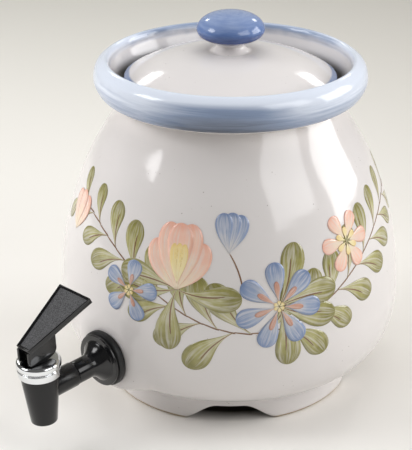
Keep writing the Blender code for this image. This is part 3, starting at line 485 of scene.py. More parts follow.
# Painted spray. Coloured slips brushed on under the glaze: a vine that hangs across the belly,
# with leaves on both sides, a peach tulip, blue and peach flowers, and buds. Each brush stroke
# is a skin of slip 0.04 mm thick, laid on the wall, pale at its tail and dark where it pooled.
SLIP_LIFT = 0.00006
SLIP_THICKNESS = 0.00004
STROKE_COLUMNS = 22
STROKE_ROWS = 6
HEAD_SHARE = 0.26
TAIL_WIDTH = 0.05
LEAST_SWELL = 0.02
PATH_STEPS = 40
belly_run = np.concatenate(([0.0], np.cumsum([(b - a).length for a, b in zip(BELLY, BELLY[1:])])))
BELT_RUN = float(np.interp(BELLY_HEIGHT, belly_heights, belly_run))


def belly_at(run):
    """The outer side's radius and height at a run along it."""
    return np.array([np.interp(run, belly_run, across) for across in (belly_radii, belly_heights)])


def on_belly(around, above):
    """The point, normal and radius at an angle from the tap and a run above the widest line."""
    run = BELT_RUN + above
    radius, height = belly_at(run)
    slope = Vector(belly_at(run + ROW) - belly_at(run - ROW)).normalized()
    side = Vector((sin(around), -cos(around), 0.0))
    normal = side * slope.y - Vector((0, 0, slope.x))
    return AXIS + side * radius + Vector((0, 0, height)), normal, radius


def swell(t, slim):
    """Half the width of a stroke along its length: a drawn-out tail, then a full round head."""
    neck = 1 - HEAD_SHARE
    if t < neck:
        return TAIL_WIDTH + (1 - TAIL_WIDTH) * ease(t, 0.0, neck) ** slim
    return sqrt(max(1 - ((t - neck) / HEAD_SHARE) ** 2, 0.0))


def brush(shape, layer, start, heading, length, width, bend, slim, lift):
    """One brush stroke: a grid along a bent line, drawn out at its tail and round at its head.

    start is (angle from the tap, run above the widest line), heading is in degrees from the
    right towards up, and bend is how far the line turns over its length, in degrees.
    """
    made = bmesh.ops.create_grid(shape, x_segments=STROKE_COLUMNS, y_segments=STROKE_ROWS, size=1.0)
    radius_here = on_belly(*start)[2]
    path = [Vector((0.0, 0.0))]
    for i in range(PATH_STEPS):
        angle = radians(heading + bend * (i + 0.5) / PATH_STEPS)
        path.append(path[-1] + Vector((cos(angle), sin(angle))) * length / PATH_STEPS)
    for vertex in made["verts"]:
        t = sin((vertex.co.x + 1) * pi / 4)
        v = vertex.co.y
        at = t * PATH_STEPS
        i = min(int(at), PATH_STEPS - 1)
        middle = path[i].lerp(path[i + 1], at - i)
        angle = radians(heading + bend * t)
        half = width / 2 * max(swell(t, slim), LEAST_SWELL)
        flat = middle + Vector((-sin(angle), cos(angle))) * half * v
        spot, normal, _ = on_belly(start[0] + flat.x / radius_here, start[1] + flat.y)
        vertex.co = spot + normal * SLIP_LIFT * lift
        for loop in vertex.link_loops:
            loop[layer].uv = (t, (v + 1) / 2)


def slip(name, tail, body, head, edge, streak=0.35):
    """Watery slip: thin at the tail, streaked by the hairs, pooled in the head and edges."""
    material, tree, shader, place = new_material(name)
    uv = add_node(tree, "UVMap", uv_map="stroke")
    split = add_node(tree, "SeparateXYZ", [uv])
    along, across = split.outputs[0], split.outputs[1]
    cloud = add_node(tree, "TexNoise", {"Vector": place, "Scale": 150.0, "Detail": 3.0})
    blot = add_node(tree, "MapRange", [cloud, 0.3, 0.7, -0.16, 0.16])
    flow = add_node(tree, "Math", [blot, along], operation="ADD")
    ramp_node = add_node(tree, "ValToRGB", [flow])
    ramp = ramp_node.color_ramp.elements
    ramp[0].position = 0.05
    ramp[0].color = tint(tail)
    ramp[1].position = 0.97
    ramp[1].color = tint(head)
    ramp.new(0.55).color = tint(body)
    # Hair lines run the length of the stroke
    fine = add_node(tree, "VectorMath", [uv, (0.9, 11.0, 1.0)], operation="MULTIPLY")
    patch = add_node(tree, "VectorMath", [place, (60.0, 60.0, 60.0)], operation="MULTIPLY")
    apart = add_node(tree, "VectorMath", [fine, patch], operation="ADD")
    bristle = add_node(tree, "TexNoise", {"Vector": apart, "Scale": 1.0, "Detail": 3.0})
    hair = add_node(tree, "MapRange", {0: bristle, 1: 0.44, 2: 0.66, 4: streak})
    washed = add_node(tree, "Mix", {0: hair, 6: ramp_node, 7: tint(WHITE_GLAZE)},
                      data_type="RGBA").outputs[2]
    centre = add_node(tree, "Math", [across, 0.5], operation="SUBTRACT")
    off = add_node(tree, "Math", [centre], operation="ABSOLUTE")
    rim = add_node(tree, "MapRange", {0: off, 1: 0.34, 2: 0.46, 4: 0.55},
                   interpolation_type="SMOOTHSTEP")
    end = add_node(tree, "MapRange", {0: along, 1: 0.86, 2: 0.985, 4: 0.6},
                   interpolation_type="SMOOTHSTEP")
    wet = add_node(tree, "Math", [rim, end], operation="MAXIMUM")
    inked = add_node(tree, "Mix", {0: wet, 6: washed, 7: tint(edge)}, data_type="RGBA").outputs[2]
    fade = add_node(tree, "MapRange", {0: off, 1: 0.48, 2: 0.5, 4: 0.3})
    base = add_node(tree, "Mix", {0: fade, 6: inked, 7: tint(WHITE_GLAZE)},
                    data_type="RGBA").outputs[2]
    tree.links.new(base, shader.inputs["Base Color"])
    shader.inputs["Roughness"].default_value = GLAZE_ROUGHNESS
    shader.inputs["IOR"].default_value = GLAZE_IOR
    return material


def painted(name, strokes, material):
    """All the strokes of one colour as one thin piece on the crock."""
    shape = bmesh.new()
    layer = shape.loops.layers.uv.new("stroke")
    for stroke in strokes:
        brush(shape, layer, **stroke)
    bmesh.ops.recalc_face_normals(shape, faces=shape.faces)
    for face in shape.faces:
        middle = face.calc_center_median()
        if face.normal.dot(middle - Vector((AXIS.x, AXIS.y, middle.z))) < 0:
            face.normal_flip()
    piece = finish_piece(shape, name, "crock_and_tap", material, sharp=80)
    skin = piece.modifiers.new("slip", "SOLIDIFY")
    skin.thickness = SLIP_THICKNESS
    skin.offset = -1.0
    return piece


VINE_LOW = 0.014
VINE_RISE = 0.058
VINE_MIDDLE = radians(52)
VINE_REACH = radians(78)
LEAF_GAP = 0.0205
LEAF_LENGTH = 0.034
LEAF_WIDTH = 0.0150
VINE_WIDTH = 0.0009
VEIN_WIDTH = 0.0008
LEAF_SPREAD = 34
PETAL_STEP = 0.4
LOOK_AHEAD = 0.0005


def vine(around):
    """The hanging vine's height above the widest line: low in the middle, up at both ends."""
    share = (around - VINE_MIDDLE) / VINE_REACH
    return VINE_LOW + VINE_RISE * (0.5 - 0.5 * cos(pi * share))


def strokes_from(start, sweeps, length, width, slim=0.8, lift=3.6, step=0.0):
    """Strokes from one point, one for each (heading, bend), each a step over the one before."""
    return [dict(start=start, heading=heading, length=length, width=width, bend=bend, slim=slim,
                 lift=lift + step * i) for i, (heading, bend) in enumerate(sweeps)]


def petals_round(centre, count, length, width, first, lift, inset=0.16):
    """Petals brushed outwards from a flower's centre, each over the one before."""
    strokes = []
    radius = on_belly(*centre)[2]
    for i in range(count):
        heading = first + i * 360 / count
        turn = radians(heading)
        away = Vector((cos(turn), sin(turn))) * length * inset
        start = (centre[0] + away.x / radius, centre[1] + away.y)
        strokes += strokes_from(start, [(heading, 0)], length, width, 0.7, lift + PETAL_STEP * i)
    return strokes


leaves = []
vine_line = []
veins = []
around = VINE_MIDDLE - VINE_REACH
side = 1
while around < VINE_MIDDLE + VINE_REACH:
    height = vine(around)
    radius_here = on_belly(around, height)[2]
    ahead = around + LOOK_AHEAD / radius_here
    tangent = degrees(atan2(vine(ahead) - height, LOOK_AHEAD))
    # The leaves point away from the flowers in the middle, and shrink towards the ends
    outwards = 1 if around > VINE_MIDDLE else -1
    forward = tangent if outwards > 0 else tangent + 180
    far = abs(around - VINE_MIDDLE) / VINE_REACH
    size = (1.12 - 0.42 * far) * (1 + 0.06 * sin(9 * around))
    heading = forward + side * LEAF_SPREAD
    start = (around, height)
    leaves += strokes_from(start, [(heading, side * LEAF_SPREAD)], LEAF_LENGTH * size,
                           LEAF_WIDTH * size, 1.3, 1.0 + 0.3 * (side > 0))
    veins += strokes_from(start, [(heading + side * 3, side * 30)], LEAF_LENGTH * size * 0.72,
                          VEIN_WIDTH, 0.3, 2.2)
    vine_line += strokes_from(start, [(tangent, 0)], LEAF_GAP * 0.56, VINE_WIDTH, 0.1, 1.8)
    around += LEAF_GAP / 2 / radius_here * cos(radians(tangent))
    side = -side

TULIP = (radians(27), 0.040)
POPPY = (radians(60), 0.030)
SMALL_FLOWER = (radians(10), 0.033)
STAR_FLOWER = (radians(88), 0.060)
BLUE_BUD = (radians(44), 0.064)
PEACH_BUD = (radians(-24), 0.052)
vine_line += strokes_from(BLUE_BUD, [(-58, -26)], 0.024, VINE_WIDTH, 0.1, 1.8)
for centre, sweeps in ((TULIP, ((200, -30), (160, 26), (250, 30), (-20, 30))),
                       (POPPY, ((20, -26), (60, 24), (-30, 28), (290, -24)))):
    leaves += strokes_from(centre, sweeps, 0.040, 0.0165, 1.2, 2.4)
    veins += strokes_from(centre, sweeps, 0.030, VINE_WIDTH, 0.3, 3.2)
leaf_slip = slip("olive_slip", "CFCBA6", "A9A469", "827D42", "858048", streak=0.45)
vein_slip = slip("brown_slip", "8E6A45", "7E5A3A", "744F34", "744F34", streak=0.2)
painted("painted_leaves", leaves, leaf_slip)
painted("painted_stems", vine_line + veins, vein_slip)

peach_petals = strokes_from(TULIP, ((34, 60), (146, -60)), 0.034, 0.0150, step=0.5)
peach_petals += strokes_from(TULIP, ((64, 34), (116, -34)), 0.041, 0.0165, lift=4.6, step=0.5)
peach_petals += strokes_from(TULIP, [(90, 0)], 0.040, 0.0175, lift=5.6)
peach_petals += strokes_from(PEACH_BUD, ((50, 50), (130, -50), (90, 0)), 0.026, 0.0120,
                             lift=5.1, step=0.3)
peach_petals += petals_round(STAR_FLOWER, 6, 0.0165, 0.0100, first=60, lift=3.6)
peach_slip = slip("peach_slip", "F4E3C2", "F2CEB9", "EFBCA8", "E8A790", streak=0.5)
painted("painted_peach_flowers", peach_petals, peach_slip)

blue_petals = petals_round(POPPY, 7, 0.0235, 0.0125, first=95, lift=4.2)
blue_petals += petals_round(SMALL_FLOWER, 5, 0.0170, 0.0110, first=80, lift=4.2)
blue_petals += strokes_from(BLUE_BUD, ((58, 26), (84, 0), (110, -26)), 0.024, 0.0115,
                            lift=4.78, step=0.26)
blue_slip = slip("blue_slip", "CDCBCB", "9FABC2", "7F92B5", "6F84AB", streak=0.45)
painted("painted_blue_flowers", blue_petals, blue_slip)

rust_strokes = petals_round(POPPY, 7, 0.0125, 0.0034, first=95, lift=8.0, inset=0.25)
rust_strokes += petals_round(SMALL_FLOWER, 5, 0.0085, 0.0026, first=80, lift=8.0, inset=0.25)
rust_slip = slip("rust_slip", "D9B8A4", "CB9A85", "BF8873", "B97F69", streak=0.4)
painted("painted_rust_strokes", rust_strokes, rust_slip)

yellow_strokes = petals_round(STAR_FLOWER, 6, 0.0075, 0.0036, first=30, lift=8.0)
yellow_strokes += strokes_from((TULIP[0], TULIP[1] + 0.004), ((70, 24), (90, 0), (110, -24)),
                               0.024, 0.0052, lift=8.0)
for centre in (POPPY, SMALL_FLOWER):
    yellow_strokes += petals_round(centre, 6, 0.0030, 0.0022, first=30, lift=9.6)
yellow_slip = slip("yellow_slip", "F6EAC0", "F3E0A2", "EFD490", "E8C67F", streak=0.3)
painted("painted_yellow", yellow_strokes, yellow_slip)


# Lid. Thrown stoneware in one piece with its knob, glazed white, with the edge and the knob
# brushed blue. It lies loose on the ledge inside the rim.
LID_SEAT = LEDGE_HEIGHT + 0.0003
LID_EDGE_RADIUS = 0.0675
LID_EDGE_HEIGHT = 0.0090
LID_DOME_HEIGHT = 0.0150
LID_THICKNESS = 0.0062
LID_RING_RADIUS = 0.0580
LID_RING_WALL = 0.0055
LID_RING_DEPTH = 0.0095
LID_RING_ROUND = 0.0012
KNOB_NECK_RADIUS = 0.0088
KNOB_NECK_HEIGHT = 0.0062
KNOB_RADIUS = 0.0214
KNOB_HEIGHT = 0.0180
KNOB = ((0.0, 1.0), (0.30, 0.985), (0.62, 0.90), (0.87, 0.72), (1.0, 0.45), (0.93, 0.20),
        (0.72, 0.05), (0.58, 0.0))
edge_top = LID_SEAT + LID_EDGE_HEIGHT
dome_top = edge_top + LID_DOME_HEIGHT
knob_bottom = dome_top + KNOB_NECK_HEIGHT
knob_line = [(KNOB_RADIUS * r, knob_bottom + KNOB_HEIGHT * z) for r, z in KNOB]
dome_start = KNOB_NECK_RADIUS * 1.35
edge_round = LID_EDGE_HEIGHT / 4
dome_edge = LID_EDGE_RADIUS - edge_round
dome_line = [(dome_start + (dome_edge - dome_start) * t, edge_top + LID_DOME_HEIGHT * (1 - t ** 2))
             for t in np.linspace(0, 1, 30)]
neck_line = [knob_line[-1], (KNOB_NECK_RADIUS, knob_bottom - KNOB_NECK_HEIGHT * 0.45),
             dome_line[0], dome_line[2]]
ring_bottom = LID_SEAT - LID_RING_DEPTH
ring_inner = LID_RING_RADIUS - LID_RING_WALL
lid_outline = curve_through(knob_line, 6) + curve_through(neck_line, 5)[1:]
lid_outline += dome_line[3:-1]
lid_outline += curve_through([dome_line[-1],
                              (LID_EDGE_RADIUS - 0.0005, edge_top - edge_round * 0.6),
                              (LID_EDGE_RADIUS, edge_top - edge_round * 1.6),
                              (LID_EDGE_RADIUS - 0.0003, LID_SEAT + edge_round),
                              (LID_EDGE_RADIUS - edge_round, LID_SEAT)], 4)
lid_outline += [(LID_RING_RADIUS + 0.0010, LID_SEAT), (LID_RING_RADIUS, LID_SEAT - 0.0010),
                (LID_RING_RADIUS, ring_bottom + LID_RING_ROUND),
                (LID_RING_RADIUS - LID_RING_ROUND / 3, ring_bottom + LID_RING_ROUND / 3),
                (LID_RING_RADIUS - LID_RING_ROUND, ring_bottom),
                (ring_inner + LID_RING_ROUND, ring_bottom),
                (ring_inner + LID_RING_ROUND / 3, ring_bottom + LID_RING_ROUND / 3),
                (ring_inner, ring_bottom + LID_RING_ROUND),
                (ring_inner, LID_SEAT + edge_round)]
lid_outline += [(ring_inner * t, edge_top - LID_THICKNESS + LID_DOME_HEIGHT * (1 - t ** 2))
                for t in np.linspace(0.97, 0, 16)]
lid_shape = turned(lid_outline, 160)
bmesh.ops.translate(lid_shape, verts=lid_shape.verts, vec=AXIS)
# Knob blues, darkest facing down, palest facing up: partly glaze pooling, partly painted shade
KNOB_BLUES = ("2E447C", "637CAE", "92A3C6")
# The knob's stain is shifted darker all round, with none of the rim's painted shade
KNOB_SHADE_LOADS = (-0.11, 0.0, 0.0)
knob_band = (("z", knob_bottom - 0.0002, knob_bottom + 0.0008),)
edge_band = (("r", dome_edge - 0.0022, dome_edge - 0.0006), ("z", LID_SEAT, LID_SEAT + 0.0008))
lid_glaze = glazed_stoneware("glazed_stoneware_blue_knob", [knob_band, edge_band],
                             KNOB_BLUES, KNOB_SHADE_LOADS)
finish_piece(lid_shape, "stoneware_lid", "lid", lid_glaze, sharp=50, stands_for=["lid"])


# Shank and its gasket. A black moulded nylon tube with a trumpet flange that is drawn against a
# soft rubber ring on the wall by a nut inside. It looks glossy, with faint mould flow.
BLACK = "0B0B0C"
BLACK_WORN = "1A1A1C"


def moulded_black(name, roughness, ior, grain=0.0, grain_size=0.0006, dark=BLACK, worn_and_glint=BLACK_WORN):
    """Black moulded plastic: even gloss, faint flow marks, and a spark-eroded grain if asked."""
    material, tree, shader, place = new_material(name)
    flow = add_node(tree, "TexNoise", {"Vector": place, "Scale": 60.0, "Detail": 4.0})
    base = add_node(tree, "Mix", {0: flow, 6: tint(dark), 7: tint(worn_and_glint)},
                    data_type="RGBA").outputs[2]
    tree.links.new(base, shader.inputs["Base Color"])
    smear = add_node(tree, "MapRange", [flow, 0.3, 0.7, roughness * 0.85, roughness * 1.2])
    tree.links.new(smear.outputs[0], shader.inputs["Roughness"])
    shader.inputs["IOR"].default_value = ior
    size = grain_size if grain else 0.004
    # On a grain the pale tips are partly tone, partly painted sheen
    if grain:
        pits = add_node(tree, "TexNoise", {"Vector": place, "Scale": 1 / size, "Detail": 1.0})
        glint_tips = add_node(tree, "MapRange", [pits, 0.30, 0.72])
        base = add_node(tree, "Mix", {0: glint_tips, 6: tint(dark), 7: tint(worn_and_glint)},
                        data_type="RGBA").outputs[2]
        tree.links.new(base, shader.inputs["Base Color"])
    height = add_node(tree, "TexNoise", {"Vector": place, "Scale": 1 / size, "Detail": 2.0})
    bump = add_node(tree, "Bump", {"Height": height, "Strength": 1.0, "Distance": grain or 0.00001})
    tree.links.new(bump.outputs[0], shader.inputs["Normal"])
    return material


def bevel_sharp(shape, width, angle=25, segments=3):
    """Round every edge that turns more than this angle."""
    edges = [e for e in shape.edges
             if len(e.link_faces) == 2 and e.calc_face_angle(0) > radians(angle)]
    bmesh.ops.bevel(shape, geom=edges, offset=width, segments=segments, affect="EDGES", profile=0.5,
                    material=-1, clamp_overlap=True)


GAP = 0.0003
GASKET_RADIUS = 0.0181
GASKET_THICKNESS = 0.0048
GASKET_BACK = 0.0002
SHANK_RADIUS = 0.0095
SHANK_BORE = 0.0038
FLANGE_RADIUS = 0.0170
FLANGE_LIP = 0.0022
FLANGE_FLARE = 0.0095
FLANGE_TOP_RADIUS = 0.0130
TUBE_RADIUS = 0.0073
TUBE_END = 0.0280
SPIGOT_RADIUS = 0.00605
SPIGOT_LENGTH = 0.0080
SHANK_PAST_NUT = 0.003
INNER_STACK = PAD_WALL + 0.0127
gloss_black = moulded_black("gloss_black_nylon", 0.13, 1.53)
rubber = moulded_black("black_rubber", 0.45, 1.5, grain=0.00002)

gasket_hole = SHANK_RADIUS + GAP
gasket_shape = turned([(gasket_hole, GASKET_THICKNESS), (GASKET_RADIUS, GASKET_THICKNESS),
                       (GASKET_RADIUS, GASKET_BACK), (gasket_hole, GASKET_BACK),
                       (gasket_hole, GASKET_THICKNESS)], 96)
bevel_sharp(gasket_shape, 0.0012, segments=4)
finish_piece(gasket_shape, "rubber_gasket", "crock_and_tap", rubber,
             stands_for=["outer_gasket"], place=ALONG_SHANK)

face = GASKET_THICKNESS + GAP
lip_top = face + FLANGE_LIP
flare_line = [(TUBE_RADIUS + (FLANGE_TOP_RADIUS - TUBE_RADIUS) * (1 - t) ** 2,
               lip_top + FLANGE_LIP / 2 + (FLANGE_FLARE - FLANGE_LIP / 2) * t)
              for t in np.linspace(1, 0, 14)]
spigot_end = TUBE_END + SPIGOT_LENGTH
shank_end = -INNER_STACK - SHANK_PAST_NUT
shank_line = [(SHANK_BORE, spigot_end), (SPIGOT_RADIUS, spigot_end), (SPIGOT_RADIUS, TUBE_END),
              (TUBE_RADIUS, TUBE_END)] + flare_line
shank_line += [(FLANGE_TOP_RADIUS + 0.0004, lip_top), (FLANGE_RADIUS, lip_top),
               (FLANGE_RADIUS, face), (SHANK_RADIUS, face), (SHANK_RADIUS, shank_end),
               (SHANK_BORE, shank_end), (SHANK_BORE, spigot_end)]
shank_shape = turned(shank_line, 96)
bevel_sharp(shank_shape, 0.0005)
finish_piece(shank_shape, "flanged_shank", "crock_and_tap", gloss_black,
             stands_for=["shank"], place=ALONG_SHANK)


# Faucet body. One black moulding: a tapered barrel whose lower end is the spout, a threaded neck
# for the bonnet, and a stub that the shank plugs into.
BARREL_TOP_RADIUS = 0.0119
BARREL_BOTTOM_RADIUS = 0.0082
BARREL_SHOULDER = 0.0116
BARREL_DROP = 0.0207
BARREL_NECK_RADIUS = 0.0109
BARREL_NECK_TOP = 0.0140
CHAMBER_RADIUS = 0.0084
SEAT_DEPTH = 0.0075
SEAT_RADIUS = 0.0040
SEAT_CONE = 0.0022
SEAT_THICKNESS = 0.0016
SPOUT_TOP_RADIUS = 0.0052
SPOUT_MOUTH_RADIUS = 0.0066
STUB_RADIUS = 0.0078
CUT_PAST = 0.002
body_line = [(0.0, BARREL_NECK_TOP), (BARREL_NECK_RADIUS, BARREL_NECK_TOP),
             (BARREL_NECK_RADIUS, BARREL_SHOULDER), (BARREL_TOP_RADIUS, BARREL_SHOULDER),
             (BARREL_BOTTOM_RADIUS, -BARREL_DROP), (0.0, -BARREL_DROP)]
body_shape = turned(body_line, 96)
bevel_sharp(body_shape, 0.0005)
satin_black = moulded_black("satin_black_acetal", 0.20, 1.43)
tap_body = finish_piece(body_shape, "faucet_barrel", "crock_and_tap", satin_black,
                        stands_for=["faucet_body"], place=ON_BARREL)
stub_shape = rod(STUB_RADIUS, TUBE_END + GAP, BARREL_OFFSET - CUT_PAST, 96)
bevel_sharp(stub_shape, 0.0006)
cut(tap_body, stub_shape, ALONG_SHANK, "UNION")
seat_top = -SEAT_DEPTH - SEAT_CONE
bore_top = BARREL_NECK_TOP + CUT_PAST
bore_bottom = -BARREL_DROP - CUT_PAST
bore_shape = turned([(0.0, bore_top), (CHAMBER_RADIUS, bore_top), (CHAMBER_RADIUS, -SEAT_DEPTH),
                     (SEAT_RADIUS, seat_top), (SEAT_RADIUS, seat_top - SEAT_THICKNESS),
                     (SPOUT_TOP_RADIUS, seat_top - 2 * SEAT_THICKNESS),
                     (SPOUT_MOUTH_RADIUS, bore_bottom), (0.0, bore_bottom)], 72)
cut(tap_body, bore_shape, ON_BARREL)
inlet_shape = turned([(0.0, TUBE_END - 0.001), (SPIGOT_RADIUS + GAP, TUBE_END - 0.001),
                      (SPIGOT_RADIUS + GAP, spigot_end + GAP), (SHANK_BORE, spigot_end + GAP),
                      (SHANK_BORE, BARREL_OFFSET), (0.0, BARREL_OFFSET)], 72)
cut(tap_body, inlet_shape, ALONG_SHANK)
tap_body.data.set_sharp_from_angle(angle=radians(35))


# Bonnet. A plastic cap with a polished chrome plate, screwed down on the barrel. It clamps the
# seat cup, and its flat top is what the lever rocks on.
BONNET_BOTTOM = 0.0121
BAND_HEIGHT = 0.0045
GROOVE_HEIGHT = 0.0006
BAND_RADIUS = 0.0134
BAND_FOOT_RADIUS = 0.0130
GROOVE_RADIUS = 0.0128
LIP_RADIUS = 0.0138
LIP_ROUND = 0.0020
TOP_THICKNESS = 0.0018
STEM_HOLE = 0.0029
CUP_FLANGE_THICKNESS = 0.0014
CUP_FLANGE_TOP = BARREL_NECK_TOP + GAP + CUP_FLANGE_THICKNESS
band_top = BONNET_BOTTOM + BAND_HEIGHT
lip_bottom = band_top + GROOVE_HEIGHT
thread_radius = BARREL_NECK_RADIUS + GAP
ceiling = BONNET_TOP - TOP_THICKNESS
quarter = np.linspace(0, pi / 2, 9)
bonnet_line = [(STEM_HOLE, BONNET_TOP)]
bonnet_line += [(LIP_RADIUS - LIP_ROUND * (1 - sin(a)),
                 BONNET_TOP - LIP_ROUND * (1 - cos(a))) for a in quarter]
bonnet_line += [(LIP_RADIUS - LIP_ROUND * (1 - cos(a)),
                 lip_bottom + LIP_ROUND * (1 - sin(a))) for a in quarter]
bonnet_line += [(GROOVE_RADIUS, lip_bottom), (GROOVE_RADIUS, band_top), (BAND_RADIUS, band_top),
                (BAND_FOOT_RADIUS, BONNET_BOTTOM), (thread_radius, BONNET_BOTTOM),
                (thread_radius, CUP_FLANGE_TOP + GAP), (CHAMBER_RADIUS, CUP_FLANGE_TOP + GAP),
                (CHAMBER_RADIUS, ceiling), (STEM_HOLE, ceiling), (STEM_HOLE, BONNET_TOP)]
bonnet_shape = turned(bonnet_line, 128)
bevel_sharp(bonnet_shape, 0.0003, angle=40)
chrome, tree, shader, place = new_material("chrome_plate")
shader.inputs["Base Color"].default_value = tint("E4E6E8")
shader.inputs["Metallic"].default_value = 1.0
smudge = add_node(tree, "TexNoise", {"Vector": place, "Scale": 240.0, "Detail": 3.0})
haze = add_node(tree, "MapRange", [smudge, 0.35, 0.7, 0.05, 0.16])
tree.links.new(haze.outputs[0], shader.inputs["Roughness"])
finish_piece(bonnet_shape, "chrome_bonnet", "crock_and_tap", chrome,
             stands_for=["bonnet"], place=ON_BARREL)


# Lever. A black ABS moulding: a wedge-shaped paddle with a sunk, grained panel and glossy
# edges, hollow below, on two cheeks that rock on the bonnet about a pin.
TOE_FORWARD = 0.0108
TOE_ROUND = 0.0024
FLAT_BACK = 0.0025
HEEL_BACK = 0.0104
HEEL_HEIGHT = 0.0060
NOSE_HEIGHT = 0.0117
TIP_BACK = 0.0322
TIP_HEIGHT = 0.0327
NARROW = 0.0113
WIDE = 0.0280
DEPTH = 0.0040
CHEEK_WALL = 0.0018
BORDER = 0.0018
PANEL_DEPTH = 0.0011
PANEL_SLOPE = 0.0016
SIDE_WALL = 0.0016
SKIN = 0.0016
PIN_RADIUS = 0.00125
# Turned about the pin: X stays, Y points back to the crock and Z up the barrel
ON_PIN = Matrix.Translation(PIVOT) @ Matrix((Vector((1, 0, 0)), -OUT, UP)).transposed().to_4x4()
floor = GAP - PIN_ABOVE_TOP
toe = -TOE_FORWARD
heel = HEEL_BACK
nose = NOSE_HEIGHT - PIN_ABOVE_TOP
tip = Vector((TIP_BACK, TIP_HEIGHT - PIN_ABOVE_TOP))
slope = atan2(tip.y - nose, tip.x - toe)
length = hypot(tip.y - nose, tip.x - toe)


def under_paddle(y):
    """Half way down the paddle, above this place."""
    return nose + (y - toe) * tan(slope) - DEPTH / 2 / cos(slope)


cheek_line = [(toe + TOE_ROUND * (1 - cos(a)), floor + TOE_ROUND * (1 - sin(a)))
              for a in np.linspace(0, pi / 2, 6)]
heel_top = HEEL_HEIGHT - PIN_ABOVE_TOP
cheek_line += [(FLAT_BACK + (heel - FLAT_BACK) * sin(a),
                heel_top - (heel_top - floor) * cos(a))
               for a in np.linspace(0, pi / 2, 12)]
cheek_line += [(heel, under_paddle(heel)), (toe, under_paddle(toe))]


def slab(side_line, low, high):
    """A flat side outline of (back, up), extruded across from low to high."""
    shape = bmesh.new()
    ring = [shape.verts.new((low, y, z)) for y, z in side_line]
    first = shape.faces.new(ring)
    moved = bmesh.ops.extrude_face_region(shape, geom=[first])["geom"]
    bmesh.ops.translate(shape, verts=[v for v in moved if isinstance(v, bmesh.types.BMVert)],
                        vec=(high - low, 0, 0))
    bmesh.ops.recalc_face_normals(shape, faces=shape.faces)
    return shape


paddle_shape = bmesh.new()
bmesh.ops.create_cube(paddle_shape, size=1.0)
for vertex in paddle_shape.verts:
    wide = WIDE if vertex.co.y > 0 else NARROW
    vertex.co = (vertex.co.x * wide, (vertex.co.y + 0.5) * length, (vertex.co.z - 0.5) * DEPTH)
paddle_shape.normal_update()
upper = [f for f in paddle_shape.faces if f.normal.z > 0.9]
bmesh.ops.inset_region(paddle_shape, faces=upper, thickness=BORDER / 2, depth=0.0)
bmesh.ops.inset_region(paddle_shape, faces=upper, thickness=PANEL_SLOPE, depth=-PANEL_DEPTH)
upper[0].material_index = 1
lower = [f for f in paddle_shape.faces if f.normal.z < -0.9]
bmesh.ops.inset_region(paddle_shape, faces=lower, thickness=SIDE_WALL,
                       depth=PANEL_DEPTH + SKIN - DEPTH)
bevel_sharp(paddle_shape, 0.0004, angle=20)
tilted = Matrix.Translation((0, toe, nose)) @ Matrix.Rotation(slope, 4, "X")
bmesh.ops.transform(paddle_shape, matrix=tilted, verts=paddle_shape.verts)
gloss_abs = moulded_black("gloss_black_abs", 0.15, 1.52)
# Its pale grain tips, partly tone and partly painted sheen
grained_abs = moulded_black("grained_black_abs", 0.50, 1.5, grain=0.00008, grain_size=0.0007,
                            dark="2C2C2E", worn_and_glint="646466")
lever = finish_piece(paddle_shape, "lever_handle", "handle", gloss_abs,
                     stands_for=["handle"], place=ON_PIN)
lever.data.materials.append(grained_abs)
for low, high in ((-NARROW / 2, CHEEK_WALL - NARROW / 2), (NARROW / 2 - CHEEK_WALL, NARROW / 2)):
    cheek = slab(cheek_line, low, high)
    bevel_sharp(cheek, 0.0003, angle=40, segments=2)
    cut(lever, cheek, ON_PIN, "UNION")
pin_drill = rod(PIN_RADIUS + GAP / 2, -NARROW, NARROW, 32)
cut(lever, pin_drill, ON_PIN @ Matrix.Rotation(pi / 2, 4, "Y"))
lever.data.set_sharp_from_angle(angle=radians(32))


# Inner parts. The stem, nut, washer, inner gasket, O-ring and pin stay as the frame has them.
# Each gets the finish of what it is: natural acetal, rubber or nylon.
MOTTLE_SIZE = 0.002


def plain_finish(name, colour, second, roughness, metallic=0.0):
    """An even moulded or drawn finish with slight variation."""
    material, tree, shader, place = new_material(name)
    mottle = add_node(tree, "TexNoise", {"Vector": place, "Scale": 1 / MOTTLE_SIZE, "Detail": 3.0})
    base = add_node(tree, "Mix", {0: mottle, 6: tint(colour), 7: tint(second)},
                    data_type="RGBA").outputs[2]
    tree.links.new(base, shader.inputs["Base Color"])
    shader.inputs["Roughness"].default_value = roughness
    shader.inputs["Metallic"].default_value = metallic
    bump = add_node(tree, "Bump", {"Height": mottle, "Strength": 1.0, "Distance": 0.00001})
    tree.links.new(bump.outputs[0], shader.inputs["Normal"])
    return material


acetal = plain_finish("natural_acetal", "E4E1D8", "D8D4C8", 0.35)
nylon = plain_finish("black_nylon", "141416", "1E1E21", 0.40)
for node, material in (("inner_gasket", rubber), ("friction_washer", acetal),
                       ("shank_nut", nylon), ("joint_o_ring", rubber), ("stem", acetal),
                       ("handle_pin", gloss_black)):
    frame["nodes"][node].data.materials.clear()
    frame["nodes"][node].data.materials.append(material)


